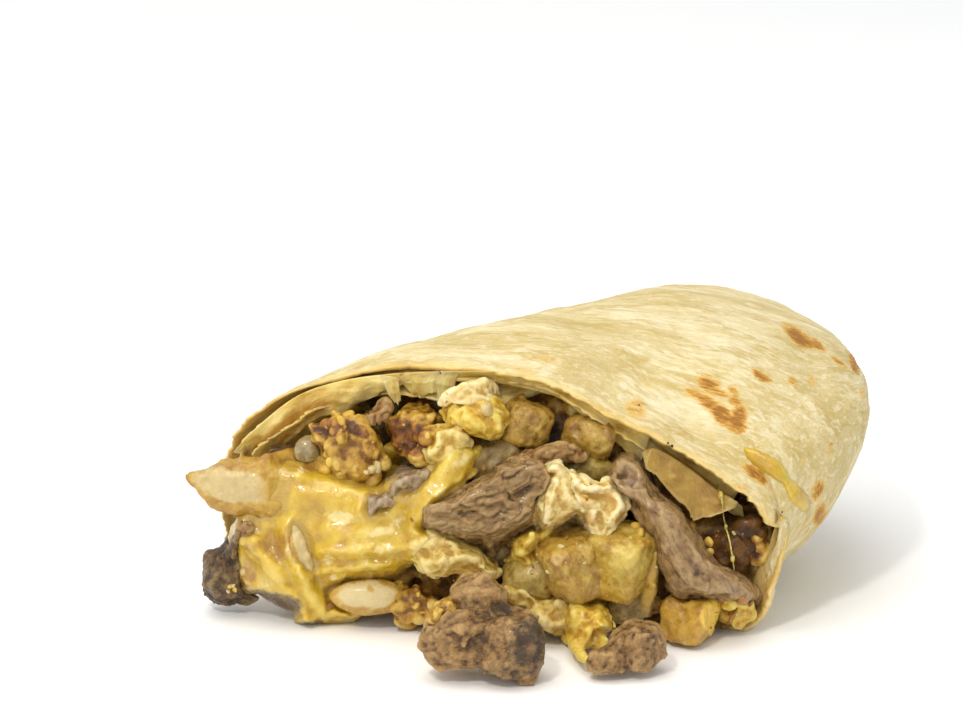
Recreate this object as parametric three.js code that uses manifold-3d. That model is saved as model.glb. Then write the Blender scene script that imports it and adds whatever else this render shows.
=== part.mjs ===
// Half of a cut breakfast burrito, lying on its side.
// Millimetres, +Z up. X runs to the right along the cut, Y runs away from the cut face.
// The table frame used below has its origin on the table under the middle of the cut;
// the finished group is moved so that the origin is the bottom centre of the whole.

import * as THREE from 'three';
import { mergeVertices } from 'three/addons/utils/BufferGeometryUtils.js';
import Module from 'manifold-3d';

const wasm = await Module();
wasm.setup();

// ---- Driving dimensions -------------------------------------------------

// Wrap: half its width, height at the cut and at the folded end, and how its belly rises.
const WRAP_HALF_WIDTH = 40;
const WRAP_TOP = 53.5;
const WRAP_TOP_AT_NOSE = 51.5;
const WRAP_SAG = 3;
const BELLY_AT_CUT = 16;
const BELLY_AT_NOSE = 37.5;
const BELLY_TILT = 4.4;

// Direction of the wrap's axis on the table, slope of the cut across it, and the folded end.
const WRAP_AXIS_ANGLE = THREE.MathUtils.degToRad(37);
const CUT_SLOPE = 0.94;
const SHOULDER = 46;
const NOSE_LENGTH = 40.5;
const NOSE_SKEW = 9;
const NOSE_CORNER = 2.05;

// Corner exponents of the section: 2 is an ellipse, more is boxier, less is slacker.
const CORNER_TOP_LEFT = 2.2;
const CORNER_TOP_RIGHT = 1.36;
const CORNER_BOTTOM_LEFT = 3.4;
const CORNER_BOTTOM_RIGHT = 3.2;
const CORNER_TOP_AT_NOSE = 2.1;
const CORNER_BOTTOM_AT_NOSE = 1.57;
const CORNER_FADE = 12;

// Tortilla sheet: thickness, room between layers, where the outer turn ends, lip and wrinkles.
const SHEET = 1.7;
const LAYER_GAP = 0.9;
const SEAM_ANGLE = THREE.MathUtils.degToRad(198);
const SEAM_STEP = 0.8 * SHEET;
const LIP_DROOP = 4;
const LIP_REACH = 9;
const RIM_RAGGED = 0.7;
const RIM_WAVES = 4;
const WRINKLE = 0.5;
const WRINKLE_LENGTH = 13;
const WRINKLES_ROUND = 3;

// Inner turns of the sheet, with angles in degrees and depth as a share of the straight body.
const INNER_SHARE = 0.8;
const INNER_MERGE_START = 0.45;
const INNER_MERGE_INSET = 0.4 * SHEET;
const CURL_START = 0.72;
const FLUTTER = 0.5;
const INNER_TURNS = [
  { from: 206, to: 22, inset: SHEET + LAYER_GAP, curl: 7, setback: 1.6, depth: 0.8, ragged: 1.6, seed: 21 },
  { from: 186, to: 92, inset: 2 * (SHEET + LAYER_GAP), curl: 2, setback: 3.2, depth: 0.7, ragged: 2.4, seed: 31 },
];

// Room kept between pieces, and how far a cut surface may be smoothed.
const GAP = 0.35;
const TIDY = 0.08;

// Filling: room under the sheet, how far back its front lies, its bulge and its lumps.
const FILLING_CLEARANCE = 0.9;
const FRONT_SETBACK = 9;
const FRONT_BULGE = 5;
const LAYER_FADE = 26;
const DEPTH_FADE = 0.1;
const FILLING_LUMP = 1.6;
const FILLING_LUMP_SIZE = 6;
const FILLING_SEED = 77;

// Fineness of the surfaces.
const WRAP_SIDES = 34;
const WRAP_BODY_RINGS = 7;
const WRAP_NOSE_RINGS = 5;
const WRAP_RINGS = WRAP_BODY_RINGS + WRAP_NOSE_RINGS;
const BODY_SHARE = WRAP_BODY_RINGS / WRAP_RINGS;
const TURN_STEPS_ACROSS = 15;
const TURN_STEPS_ALONG = 4;
const FILLING_SIDES = 22;
const FRONT_RINGS = 3;
const HEAP_RINGS = 5;
const HEAP_SIDES = 8;

// ---- Small mathematics ----------------------------------------------------

const { clamp, lerp, smoothstep } = THREE.MathUtils;

function hash(x, y, z, seed) {
  let h = Math.imul(x, 374761393) ^ Math.imul(y, 668265263) ^ Math.imul(z, 2147483647 ^ seed * 40503);
  h = Math.imul(h ^ (h >>> 13), 1274126177);
  return ((h ^ (h >>> 16)) >>> 0) / 4294967295;
}

// Smooth seeded noise from -1 to 1, one lump for each unit of length.
function noise(x, y, z, seed) {
  const [ix, iy, iz] = [Math.floor(x), Math.floor(y), Math.floor(z)];
  const [u, v, w] = [x - ix, y - iy, z - iz].map((f) => f * f * (3 - 2 * f));
  let sum = 0;
  for (let corner = 0; corner < 8; corner += 1) {
    const [dx, dy, dz] = [corner & 1, (corner >> 1) & 1, (corner >> 2) & 1];
    const weight = (dx ? u : 1 - u) * (dy ? v : 1 - v) * (dz ? w : 1 - w);
    sum += weight * hash(ix + dx, iy + dy, iz + dz, seed);
  }
  return sum * 2 - 1;
}

function signedPower(value, power) {
  return Math.sign(value) * Math.abs(value) ** power;
}

// Value along a list of evenly spaced stations, for u from 0 to 1.
function along(list, u) {
  if (typeof list === 'number') return list;
  const place = clamp(u, 0, 1) * (list.length - 1);
  const left = Math.min(Math.floor(place), list.length - 2);
  return lerp(list[left], list[left + 1], smoothstep(place - left, 0, 1));
}

// ---- Solids and how they are cut ------------------------------------------

function toSolid(geometry) {
  const bare = geometry.clone();
  bare.deleteAttribute('normal');
  bare.deleteAttribute('uv');
  const merged = mergeVertices(bare, 1e-4);
  const mesh = new wasm.Mesh({
    numProp: 3,
    vertProperties: new Float32Array(merged.attributes.position.array),
    triVerts: new Uint32Array(merged.index.array),
  });
  mesh.merge();
  return new wasm.Manifold(mesh);
}

function toGeometry(solid) {
  const mesh = solid.getMesh();
  const geometry = new THREE.BufferGeometry();
  const positions = new Float32Array(mesh.numVert * 3);
  for (let i = 0; i < mesh.numVert; i += 1) {
    for (let k = 0; k < 3; k += 1) positions[i * 3 + k] = mesh.vertProperties[i * mesh.numProp + k];
  }
  geometry.setAttribute('position', new THREE.BufferAttribute(positions, 3));
  geometry.setIndex(Array.from(mesh.triVerts));
  geometry.computeVertexNormals();
  return geometry;
}

// The largest body of a solid, without loose scraps and without closed bubbles inside it.
function largestBody(solid) {
  const bodies = solid.decompose();
  return bodies.reduce((best, body) => (body.volume() > best.volume() ? body : best));
}

// Closed tube-like skin from rings of equal length, with a pole at each end.
function skin(rings, firstPole, lastPole) {
  const sides = rings[0].length;
  const points = [firstPole, ...rings.flat(), lastPole];
  const triangles = [];
  const at = (ring, side) => 1 + ring * sides + (side % sides);
  const last = points.length - 1;
  for (let side = 0; side < sides; side += 1) {
    triangles.push(0, at(0, side + 1), at(0, side));
    triangles.push(last, at(rings.length - 1, side), at(rings.length - 1, side + 1));
  }
  for (let ring = 0; ring < rings.length - 1; ring += 1) {
    for (let side = 0; side < sides; side += 1) {
      triangles.push(at(ring, side), at(ring, side + 1), at(ring + 1, side + 1));
      triangles.push(at(ring, side), at(ring + 1, side + 1), at(ring + 1, side));
    }
  }
  return solidFrom(points, triangles);
}

// Solid from points and triangles, turned so that its faces point out.
function solidFrom(points, triangles) {
  let volume = 0;
  for (let i = 0; i < triangles.length; i += 3) {
    const [a, b, c] = [points[triangles[i]], points[triangles[i + 1]], points[triangles[i + 2]]];
    volume += a.dot(b.clone().cross(c));
  }
  if (volume < 0) triangles.reverse();
  const geometry = new THREE.BufferGeometry().setFromPoints(points);
  geometry.setIndex(triangles);
  return toSolid(geometry);
}

// ---- The tortilla -----------------------------------------------------------

// Table position of a point at distance t along the wrap's axis, s across it and z up.
function wrapToTable(t, s, z) {
  const [c, d] = [Math.cos(WRAP_AXIS_ANGLE), Math.sin(WRAP_AXIS_ANGLE)];
  return new THREE.Vector3(t * c + s * d, t * d - s * c, z);
}

// Half width, belly height and reach above and below the belly of the wrap at distance t.
function sectionAt(t) {
  const q = clamp((t - SHOULDER) / NOSE_LENGTH, 0, 1);
  const scale = (1 - q ** NOSE_CORNER) ** (1 / NOSE_CORNER);
  const progress = smoothstep(t, 0, SHOULDER + NOSE_LENGTH);
  const belly = lerp(BELLY_AT_CUT, BELLY_AT_NOSE, progress);
  const top = lerp(WRAP_TOP, WRAP_TOP_AT_NOSE, progress);
  return {
    halfWidth: WRAP_HALF_WIDTH * scale,
    belly,
    above: (top - belly) * scale,
    below: (belly + WRAP_SAG) * scale,
    scale,
  };
}

// Corner exponent of the section: slack on the top right, fuller on the top left, flat below.
function cornerAt(phi, t) {
  const top = lerp(CORNER_TOP_LEFT, CORNER_TOP_RIGHT, smoothstep(Math.cos(phi), -0.3, 0.5));
  const bottom = lerp(CORNER_BOTTOM_LEFT, CORNER_BOTTOM_RIGHT, smoothstep(t, -SHOULDER / 2, SHOULDER));
  const open = lerp(bottom, top, smoothstep(Math.sin(phi), -0.4, 0.3));
  const closed = lerp(CORNER_BOTTOM_AT_NOSE, CORNER_TOP_AT_NOSE, smoothstep(Math.sin(phi), -0.5, 0.2));
  return lerp(open, closed, smoothstep(t, SHOULDER - CORNER_FADE, SHOULDER + CORNER_FADE));
}

// Point of the wrap at angle phi (0 right, 90 degrees top), a given inset under its outer face.
// step runs from 0 at the cut to 1 at the tip of the folded end. setback moves the point back
// from the cut as far as the folded end leaves room, and grow brings its edge forward.
function wrapPoint(step, phi, inset, setback = 0, grow = 0) {
  const roughCut = CUT_SLOPE * WRAP_HALF_WIDTH * Math.cos(phi);
  const roughT = lerp(roughCut, SHOULDER + CORNER_FADE, Math.min(step / BODY_SHARE, 1));
  const corner = cornerAt(phi, roughT);
  const cross = signedPower(Math.cos(phi), 2 / corner);
  const rise = signedPower(Math.sin(phi), 2 / corner);
  const ragged = RIM_RAGGED * (noise(phi * RIM_WAVES, 0, 0, 5) + 0.5 * noise(3 * phi * RIM_WAVES, 0, 0, 6));
  const rim = CUT_SLOPE * WRAP_HALF_WIDTH * cross + ragged;
  const room = clamp((SHOULDER - NOSE_SKEW * cross - rim) / FRONT_SETBACK, 0, 1);
  const cut = rim + setback * room - grow;
  let t;
  if (step < BODY_SHARE) {
    t = lerp(cut, SHOULDER, step / BODY_SHARE);
  } else {
    const turn = ((step - BODY_SHARE) / (1 - BODY_SHARE)) * (Math.PI / 2);
    t = SHOULDER + (NOSE_LENGTH - inset) * Math.sin(turn);
  }
  const section = sectionAt(t);
  const turned = (phi - SEAM_ANGLE) / (2 * Math.PI);
  const spiral = SEAM_STEP * (turned - Math.floor(turned) - 0.5) * section.scale;
  const wrinkle = WRINKLE * noise(t / WRINKLE_LENGTH, phi * WRINKLES_ROUND, 0, 11) * section.scale;
  const out = spiral + wrinkle - inset;
  const droop = LIP_DROOP * smoothstep(rise, 0.2, 0.9) * Math.exp(-Math.max(t - cut, 0) / LIP_REACH);
  const reach = rise > 0 ? section.above : section.below;
  const s = Math.max(section.halfWidth + out, 0) * cross;
  const tilt = BELLY_TILT * cross * section.scale;
  const z = section.belly - tilt + Math.max(reach + out, 0) * rise - droop;
  const skew = NOSE_SKEW * (s / WRAP_HALF_WIDTH) * smoothstep(step, 0, BODY_SHARE);
  return wrapToTable(t - skew, s, Math.max(z, Math.max(inset, 0)));
}

function wrapRings(inset, grow) {
  const rings = [];
  for (let ring = 0; ring < WRAP_RINGS; ring += 1) {
    const row = [];
    for (let side = 0; side < WRAP_SIDES; side += 1) {
      const phi = SEAM_ANGLE + ((side + 0.5) / WRAP_SIDES) * 2 * Math.PI;
      row.push(wrapPoint(ring / WRAP_RINGS, phi, inset, 0, grow));
    }
    rings.push(row);
  }
  return rings;
}

// Outer turn with its closed end: an outer and an inner skin joined round the cut edge.
function outerTurn(grow) {
  const outer = wrapRings(-grow, grow).reverse();
  const inner = wrapRings(SHEET + grow, grow);
  return skin([...outer, ...inner], wrapPoint(1, 0, -grow), wrapPoint(1, 0, SHEET + grow));
}

// A strip of the inner turns: from one angle over the top to another, hanging free at its cut
// edge and running out into the outer turn deep inside.
function innerTurn({ from, to, inset, curl, setback, depth, ragged, seed }, grow) {
  const grid = (under) => {
    const rows = [];
    for (let i = 0; i <= TURN_STEPS_ALONG; i += 1) {
      const row = [];
      for (let j = 0; j <= TURN_STEPS_ACROSS; j += 1) {
        const u = j / TURN_STEPS_ACROSS;
        const v = i / TURN_STEPS_ALONG;
        const merge = smoothstep(v, INNER_MERGE_START, 1);
        const level = lerp(inset + curl * smoothstep(u, CURL_START, 1), INNER_MERGE_INSET, merge);
        const flutter = FLUTTER * noise(u * 7, v * 3, 0, seed + 1) * (1 - merge);
        const back = setback + ragged * noise(u * 9, 0.5, 0, seed) * (1 - v);
        const side = Math.sign(Math.round(2 * u - 1));
        const phi = THREE.MathUtils.degToRad(lerp(from, to, u)) - side * (grow / WRAP_HALF_WIDTH);
        row.push(wrapPoint(v * depth * BODY_SHARE, phi, level + flutter + under, back, i === 0 ? grow : 0));
      }
      rows.push(row);
    }
    return rows;
  };
  return slab(grid(-grow), grid(SHEET * INNER_SHARE + grow));
}

// Closed slab between two grids of points of the same size.
function slab(front, back) {
  const rows = front.length;
  const columns = front[0].length;
  const points = [...front.flat(), ...back.flat()];
  const offset = rows * columns;
  const triangles = [];
  const quad = (a, b, c, d) => triangles.push(a, b, c, a, c, d);
  const at = (row, column, face) => face * offset + row * columns + column;
  for (let row = 0; row < rows - 1; row += 1) {
    for (let column = 0; column < columns - 1; column += 1) {
      quad(at(row, column, 0), at(row, column + 1, 0), at(row + 1, column + 1, 0), at(row + 1, column, 0));
      quad(at(row, column, 1), at(row + 1, column, 1), at(row + 1, column + 1, 1), at(row, column + 1, 1));
    }
  }
  for (let row = 0; row < rows - 1; row += 1) {
    quad(at(row, 0, 0), at(row + 1, 0, 0), at(row + 1, 0, 1), at(row, 0, 1));
    quad(
      at(row, columns - 1, 0),
      at(row, columns - 1, 1),
      at(row + 1, columns - 1, 1),
      at(row + 1, columns - 1, 0),
    );
  }
  for (let column = 0; column < columns - 1; column += 1) {
    quad(at(0, column, 0), at(0, column, 1), at(0, column + 1, 1), at(0, column + 1, 0));
    quad(
      at(rows - 1, column, 0),
      at(rows - 1, column + 1, 0),
      at(rows - 1, column + 1, 1),
      at(rows - 1, column, 1),
    );
  }
  return solidFrom(points, triangles);
}

// The whole wrap; grow makes it larger all round, to keep other pieces clear of it.
function tortilla(grow = 0) {
  const turns = INNER_TURNS.map((turn) => innerTurn(turn, grow));
  return largestBody(turns.reduce((whole, turn) => whole.add(turn), outerTurn(grow)));
}

// ---- Pieces of food -----------------------------------------------------------

// A rounded piece of food swept along a path of table points. Its width lies across the path
// and its depth along the facing direction; both are given at even stations along the path.
function foodPiece(spec, grow = 0) {
  const { path, wide, deep, seed } = spec;
  const { facing = [0, -1, 0], blunt = 2.6, corner = 2.5, lump = 0.5, lumpSize = 4.5 } = spec;
  const { rings = 7, sides = 9 } = spec;
  const curve = new THREE.CatmullRomCurve3(path.map((point) => new THREE.Vector3(...point)));
  const face = new THREE.Vector3(...facing).normalize();
  const rows = [];
  let poles = [];
  for (let ring = 0; ring <= rings; ring += 1) {
    const u = 0.5 - 0.5 * Math.cos((Math.PI * ring) / rings);
    const offCentre = 2 * u - 1;
    const scale = Math.max(1 - Math.abs(offCentre) ** blunt, 0) ** (1 / blunt);
    const tangent = curve.getTangent(u);
    const side = tangent.clone().cross(face).normalize();
    const front = side.clone().cross(tangent).normalize();
    const centre = curve.getPoint(u).addScaledVector(tangent, grow * offCentre);
    if (ring === 0 || ring === rings) {
      poles = [...poles, centre];
      continue;
    }
    const row = [];
    for (let k = 0; k < sides; k += 1) {
      const angle = (k / sides) * 2 * Math.PI;
      const across = signedPower(Math.cos(angle), 2 / corner);
      const forward = signedPower(Math.sin(angle), 2 / corner);
      const halfWidth = (along(wide, u) / 2) * scale;
      const halfDepth = (along(deep, u) / 2) * scale;
      const base = centre.clone().addScaledVector(side, across * halfWidth);
      base.addScaledVector(front, forward * halfDepth);
      const bump = lump * noise(base.x / lumpSize, base.y / lumpSize, base.z / lumpSize, seed) * scale;
      const out = side.clone().multiplyScalar(across).addScaledVector(front, forward).normalize();
      row.push(base.addScaledVector(out, bump + grow));
    }
    rows.push(row);
  }
  return skin(rows, poles[0], poles[1]);
}

// A box-shaped region above the table, which gives what lies on it a flat underside.
const aboveTable = toSolid(new THREE.BoxGeometry(400, 400, 200).translate(0, 0, 100));

const KINDS = {
  tortilla: { color: 0xe6d6a4, roughness: 0.75 },
  filling: { color: 0xa87a32, roughness: 0.6 },
  cheese: { color: 0xe9bb3d, roughness: 0.3 },
  steak: { color: 0x80633f, roughness: 0.5, corner: 3, blunt: 3, lump: 1, lumpSize: 3.6 },
  potato: { color: 0xdcb85c, roughness: 0.5, corner: 3.6, blunt: 3.8, lump: 0.6, lumpSize: 4.5 },
  hash: { color: 0xa06a2c, roughness: 0.55, corner: 2.4, blunt: 2.8, lump: 1.7, lumpSize: 2.8 },
  egg: { color: 0xefdf9c, roughness: 0.5, corner: 2.3, blunt: 2.6, lump: 1.4, lumpSize: 2.8 },
  onion: { color: 0xd9cfa0, roughness: 0.35, corner: 2.4, lump: 0.3, lumpSize: 4 },
};

// Every piece that shows at the cut, the cheese and the foremost first. A piece is one sweep,
// or several joined: path is in table millimetres, wide is its extent across the path, deep its extent
// towards the back.
const PIECES = [
  { name: 'melted_cheese', kind: 'cheese', seed: 28, corner: 2.2, lump: 0.5, sides: 8, rings: 6, sweeps: [
    { path: [[-50, 1, 23.5], [-39, -1, 22.5], [-28, -2.5, 22.5], [-17, -3, 24.5]], wide: [8, 13, 13, 8],
      deep: [5, 6, 6, 5], rings: 8 },
    { path: [[-49, 2, 22], [-48, 1.5, 13.5], [-44, 1, 5.5]], wide: [7, 8, 6], deep: [6, 7, 6] },
    { path: [[-46, -0.5, 19], [-41, -2, 10.5], [-33.5, -3, 2.6]], wide: [9, 10.5, 8], deep: [6, 6.5, 5] },
    { path: [[-37, -4, 15.5], [-25, -5.5, 17.5], [-11.5, -6, 20]], wide: [5, 7, 5], deep: [6, 7, 5] },
    { path: [[-35.5, -4, 10.5], [-23, -5, 13.3], [-13, -5.5, 16]], wide: [5, 6.5, 5], deep: [6, 7, 5] },
    { path: [[-23, -4, 21], [-15.5, -5, 27], [-9.5, -4.5, 33], [-6.5, -3, 37]], wide: [6, 8, 7, 4], deep: [5, 6, 5, 3],
      rings: 8 },
    { path: [[-42, -1.5, 17.5], [-30, -2.5, 18.5], [-17, -3, 21]], wide: [9, 15, 9], deep: [6, 8, 6] },
    { path: [[-32, -3, 9], [-28.5, -3.5, 2.8]], wide: [8, 8.5], deep: [6, 6] },
  ] },
  { name: 'steak_chunk_front', kind: 'steak', seed: 1, sweeps: [
    { path: [[-15, -30, 7], [-8, -31, 7.5], [0, -30, 8]], wide: [9, 12.5, 12], deep: [11, 14, 12] },
    { path: [[-4, -31, 8.5], [3, -32, 6.8], [8, -30, 6]], wide: [13, 13.5, 10], deep: [12, 15, 11] },
    { path: [[-10, -28, 14.5], [-4.5, -28, 15.2], [1.5, -27, 14]], wide: [5, 7, 5.5], deep: [8, 10, 8] },
  ] },
  { name: 'steak_chunk_right', kind: 'steak', seed: 2, sweeps: [
    { path: [[20, -29, 5], [26, -29, 5.2], [31.5, -28, 4.5]], wide: [8, 10, 8], deep: [9, 11, 8] },
    { path: [[15.5, -32, 3.6], [19, -32, 3.3], [23, -31, 3.4]], wide: [5.5, 6.2, 6], deep: [6, 7, 7] },
  ] },
  { name: 'steak_strip', kind: 'steak', seed: 4, sweeps: [
    { path: [[24, -3, 34], [25, -7, 29], [28, -9.5, 25], [32, -11, 20.5], [36, -13, 14.5], [40, -12.5, 10.5],
      [46, -10, 9], [51, -8, 8.6]], wide: [6, 7.5, 7.5, 9.5, 9.5, 9, 7, 3], deep: [6, 6, 6.5, 6.5, 6, 5.5, 4.5, 3],
      rings: 14, lump: 0.6 },
  ] },
  { name: 'steak_tongue', kind: 'steak', seed: 5, sweeps: [
    { path: [[1, -3.5, 32.5], [9, -3, 34], [17, -3, 33.5]], wide: [3, 3.4, 2.8], deep: [5, 5.5, 4], lump: 0.3 },
  ] },
  { name: 'egg_white_left', kind: 'egg', seed: 6, sweeps: [
    { path: [[9.5, -9, 34], [11.5, -10, 29], [8.5, -10, 22.5]], wide: [4.5, 8, 5], deep: [4, 4.5, 4] },
    { path: [[10, -9.5, 30], [14.5, -9, 26]], wide: [4, 4], deep: [4, 4] },
  ] },
  { name: 'egg_white_right', kind: 'egg', seed: 7, sweeps: [
    { path: [[14, -8.5, 31.5], [19, -9.5, 27], [19, -11, 18.5]], wide: [4.5, 9, 5.5], deep: [4, 4.5, 4] },
  ] },
  { name: 'steak_slab', kind: 'steak', seed: 8, sweeps: [
    { path: [[-17, -8, 22.5], [-11, -8.5, 23.5], [-4, -8.5, 25], [3, -7.5, 27.5], [8.6, -5.5, 31.5]],
      wide: [5, 10.5, 14, 14, 8.5], deep: [4, 6, 7, 6.5, 5],
      rings: 11, sides: 10, lump: 0.7 },
    { path: [[-2, -8.5, 19.5], [-2.8, -8.5, 16]], wide: [4.5, 3], deep: [3.5, 3], lump: 0.2 },
  ] },
  { name: 'egg_yellow_small', kind: 'egg', seed: 9, sweeps: [
    { path: [[4, -10, 22], [5.2, -10.5, 16]], wide: [4, 4.6], deep: [4.5, 4.5] },
  ] },
  { name: 'potato_big_right', kind: 'potato', seed: 10, sweeps: [
    { path: [[19.5, -10.5, 17], [24, -11, 17], [28.8, -9.5, 16]], wide: [10, 11.5, 9], deep: [9, 11, 9] },
  ] },
  { name: 'potato_big_left', kind: 'potato', seed: 11, sweeps: [
    { path: [[8.2, -10, 15], [14, -10.5, 13.5], [20, -10, 11]], wide: [9, 12, 9], deep: [8, 10, 9] },
  ] },
  { name: 'potato_cube_right', kind: 'potato', seed: 12, sweeps: [
    { path: [[30, -10, 6], [36, -11.5, 6], [42.8, -10.5, 5.2]], wide: [10, 12, 9.5], deep: [8, 10, 8], corner: 3.8 },
  ] },
  { name: 'potato_slab_right', kind: 'potato', seed: 13, sweeps: [
    { path: [[22, -10, 6], [26, -10, 6.3], [30, -9, 6]], wide: [8, 10, 9], deep: [5, 6, 5] },
  ] },
  { name: 'egg_orange_low', kind: 'egg', seed: 14, sweeps: [
    { path: [[14, -11, 8.2], [17, -17, 4.8], [20.5, -27, 2.6]], wide: [6.5, 8.5, 6.5], deep: [5, 6.5, 6] },
  ] },
  { name: 'egg_ragged_low', kind: 'egg', seed: 15, sweeps: [
    { path: [[1.5, -10, 8.5], [8, -12, 5.5], [14, -13, 3.2]], wide: [4.5, 8.5, 5], deep: [5, 6.5, 6] },
  ] },
  { name: 'potato_smooth', kind: 'potato', seed: 16, sweeps: [
    { path: [[1, -9, 10.5], [6, -9.5, 11], [11.5, -9, 9.5]], wide: [7, 9.5, 7], deep: [6, 7, 6], lump: 0.2 },
  ] },
  { name: 'egg_ragged_middle', kind: 'egg', seed: 17, sweeps: [
    { path: [[-18, -8, 18], [-10, -10, 15.5], [0.5, -10.5, 12]], wide: [5.5, 8.5, 5.5], deep: [6, 8, 6], rings: 9 },
  ] },
  { name: 'fry_wedge_left', kind: 'potato', seed: 18, sweeps: [
    { path: [[-60.5, 0, 29], [-52, 0, 26.4], [-42, 0.5, 26.2], [-33, 1.5, 27.6]], wide: [5, 11.5, 11, 8],
      deep: [5, 9, 10, 9], blunt: 2.1, lump: 0.3, rings: 9 },
  ] },
  { name: 'steak_nub_left', kind: 'steak', seed: 19, sweeps: [
    { path: [[-50.5, -3, 19.6], [-46.8, -3.4, 19.2]], wide: [3.6, 3.8], deep: [3.6, 4], rings: 6, sides: 8, lump: 0.3 },
  ] },
  { name: 'potato_sliver_left', kind: 'potato', seed: 20, sweeps: [
    { path: [[-40.5, -4.5, 21.3], [-38.5, -6, 15.8], [-36.8, -6, 10.2]], wide: [2.8, 4.6, 3.2], deep: [3, 4.6, 3.6],
      lump: 0.2 },
  ] },
  { name: 'potato_pale_front', kind: 'potato', seed: 21, sweeps: [
    { path: [[-29.5, -4.5, 5.2], [-24, -6, 5.8], [-18.5, -5.5, 5]], wide: [6, 8.6, 6], deep: [5, 6.5, 5], lump: 0.3 },
  ] },
  { name: 'hash_crust_low', kind: 'hash', seed: 22, sweeps: [
    { path: [[-19, -6, 3.6], [-11, -7, 3.4]], wide: [6, 6], deep: [6, 6], sides: 10 },
  ] },
  { name: 'steak_upper_cheese', kind: 'steak', seed: 23, sweeps: [
    { path: [[-21.8, -7, 27.8], [-17.8, -8, 29], [-13.8, -7.5, 30]], wide: [4.6, 5.6, 4.8], deep: [4, 5, 4],
      lump: 0.4 },
  ] },
  { name: 'steak_lower_cheese', kind: 'steak', seed: 24, sweeps: [
    { path: [[-27, -6.2, 22.3], [-22.8, -6.6, 26]], wide: [4.6, 4.8], deep: [4, 4.4], rings: 6, sides: 8, lump: 0.3 },
  ] },
  { name: 'egg_yellow_top', kind: 'egg', seed: 25, sweeps: [
    { path: [[-10, -1.5, 38], [-4, -2.5, 40.2], [1.3, -1, 39.5]], wide: [7, 8.6, 7.5], deep: [6, 8, 6] },
  ] },
  { name: 'egg_white_top', kind: 'egg', seed: 26, sweeps: [
    { path: [[-12, -0.5, 43], [-6, -1, 45], [0, 0, 44.3]], wide: [2.6, 4, 3.2], deep: [4, 5.5, 4], lump: 0.5 },
  ] },
  { name: 'egg_column', kind: 'egg', seed: 27, sweeps: [
    { path: [[-10.5, -2.5, 39.5], [-12, -3.5, 36], [-13.8, -3.5, 32]], wide: [5, 6.2, 5], deep: [5, 6, 5] },
  ] },
  { name: 'hash_left', kind: 'hash', seed: 29, sweeps: [
    { path: [[-34.5, 2.5, 33], [-29, 1.5, 34.2], [-22.5, 2.5, 32]], wide: [9, 13.5, 9.5], deep: [8, 10, 8] },
  ] },
  { name: 'onion_left', kind: 'onion', seed: 30, sweeps: [
    { path: [[-38.8, 4, 33.4], [-34, 4, 33.2]], wide: [4.8, 5.2], deep: [4, 5], rings: 6, sides: 8 },
  ] },
  { name: 'steak_dark_left', kind: 'steak', seed: 31, sweeps: [
    { path: [[-45, 5.5, 31.6], [-38.5, 5.5, 31.2]], wide: [3.4, 3.8], deep: [4, 4.5], rings: 6, sides: 8, lump: 0.3 },
  ] },
  { name: 'steak_bottom_left', kind: 'steak', seed: 32, sweeps: [
    { path: [[-50.5, 5, 14.5], [-54, 3.5, 8.5], [-53, 3, 3.5]], wide: [6, 10, 8], deep: [7, 9, 7] },
    { path: [[-53, 3, 3.6], [-45.5, 2.5, 2.6]], wide: [5, 4.6], deep: [6, 5] },
  ] },
  { name: 'steak_curl_top', kind: 'steak', seed: 33, sweeps: [
    { path: [[-22.8, 4, 43], [-22.8, 2.5, 40.5], [-26.5, 2, 38.8]], wide: [3, 3.4, 3], deep: [3.2, 3.6, 3], lump: 0.2,
      rings: 7, sides: 10 },
  ] },
  { name: 'hash_middle', kind: 'hash', seed: 34, sweeps: [
    { path: [[-20.5, 4, 35.5], [-15.5, 3, 37.2], [-10.8, 4, 36]], wide: [8, 11, 8], deep: [7, 9, 7] },
  ] },
  { name: 'potato_shaded', kind: 'potato', seed: 35, sweeps: [
    { path: [[-9, 0.5, 29.5], [-4, 0.5, 31.5], [1, 1.5, 33]], wide: [5.5, 7.5, 6], deep: [7, 8, 7] },
  ] },
  { name: 'potato_top_middle', kind: 'potato', seed: 36, sweeps: [
    { path: [[-0.5, 3.5, 38.8], [4.8, 3.5, 39.4], [9.4, 4.5, 38]], wide: [6.5, 8, 6], deep: [8, 9, 7] },
  ] },
  { name: 'potato_top_right', kind: 'potato', seed: 37, sweeps: [
    { path: [[11.5, 2.5, 36.4], [16.5, 2.5, 37], [22, 3.5, 35.5]], wide: [6.5, 8, 6], deep: [8, 9, 7] },
  ] },
  { name: 'potato_shadow_right', kind: 'potato', seed: 38, sweeps: [
    { path: [[11.5, 1.5, 28.6], [16.5, 1.5, 29.6], [22, 2, 29]], wide: [4.5, 5.5, 4.5], deep: [7, 8, 7] },
  ] },
  { name: 'potato_inner_right', kind: 'potato', seed: 39, sweeps: [
    { path: [[38, -4, 15], [42.5, -4, 15], [46.5, -4, 12.5]], wide: [9, 13, 9], deep: [7, 8, 7] },
  ] },
  { name: 'hash_inner_right', kind: 'hash', seed: 40, sweeps: [
    { path: [[46, -3, 16.5], [48.8, -4, 15.5], [50, -4.5, 12]], wide: [6, 7.5, 5], deep: [6, 7, 6] },
  ] },
  { name: 'egg_bits_right', kind: 'egg', seed: 41, sweeps: [
    { path: [[44.5, -9, 3.4], [49.5, -9, 4.2]], wide: [4.4, 4.4], deep: [4.5, 4], rings: 6, sides: 8, lump: 0.6 },
  ] },
];

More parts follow.
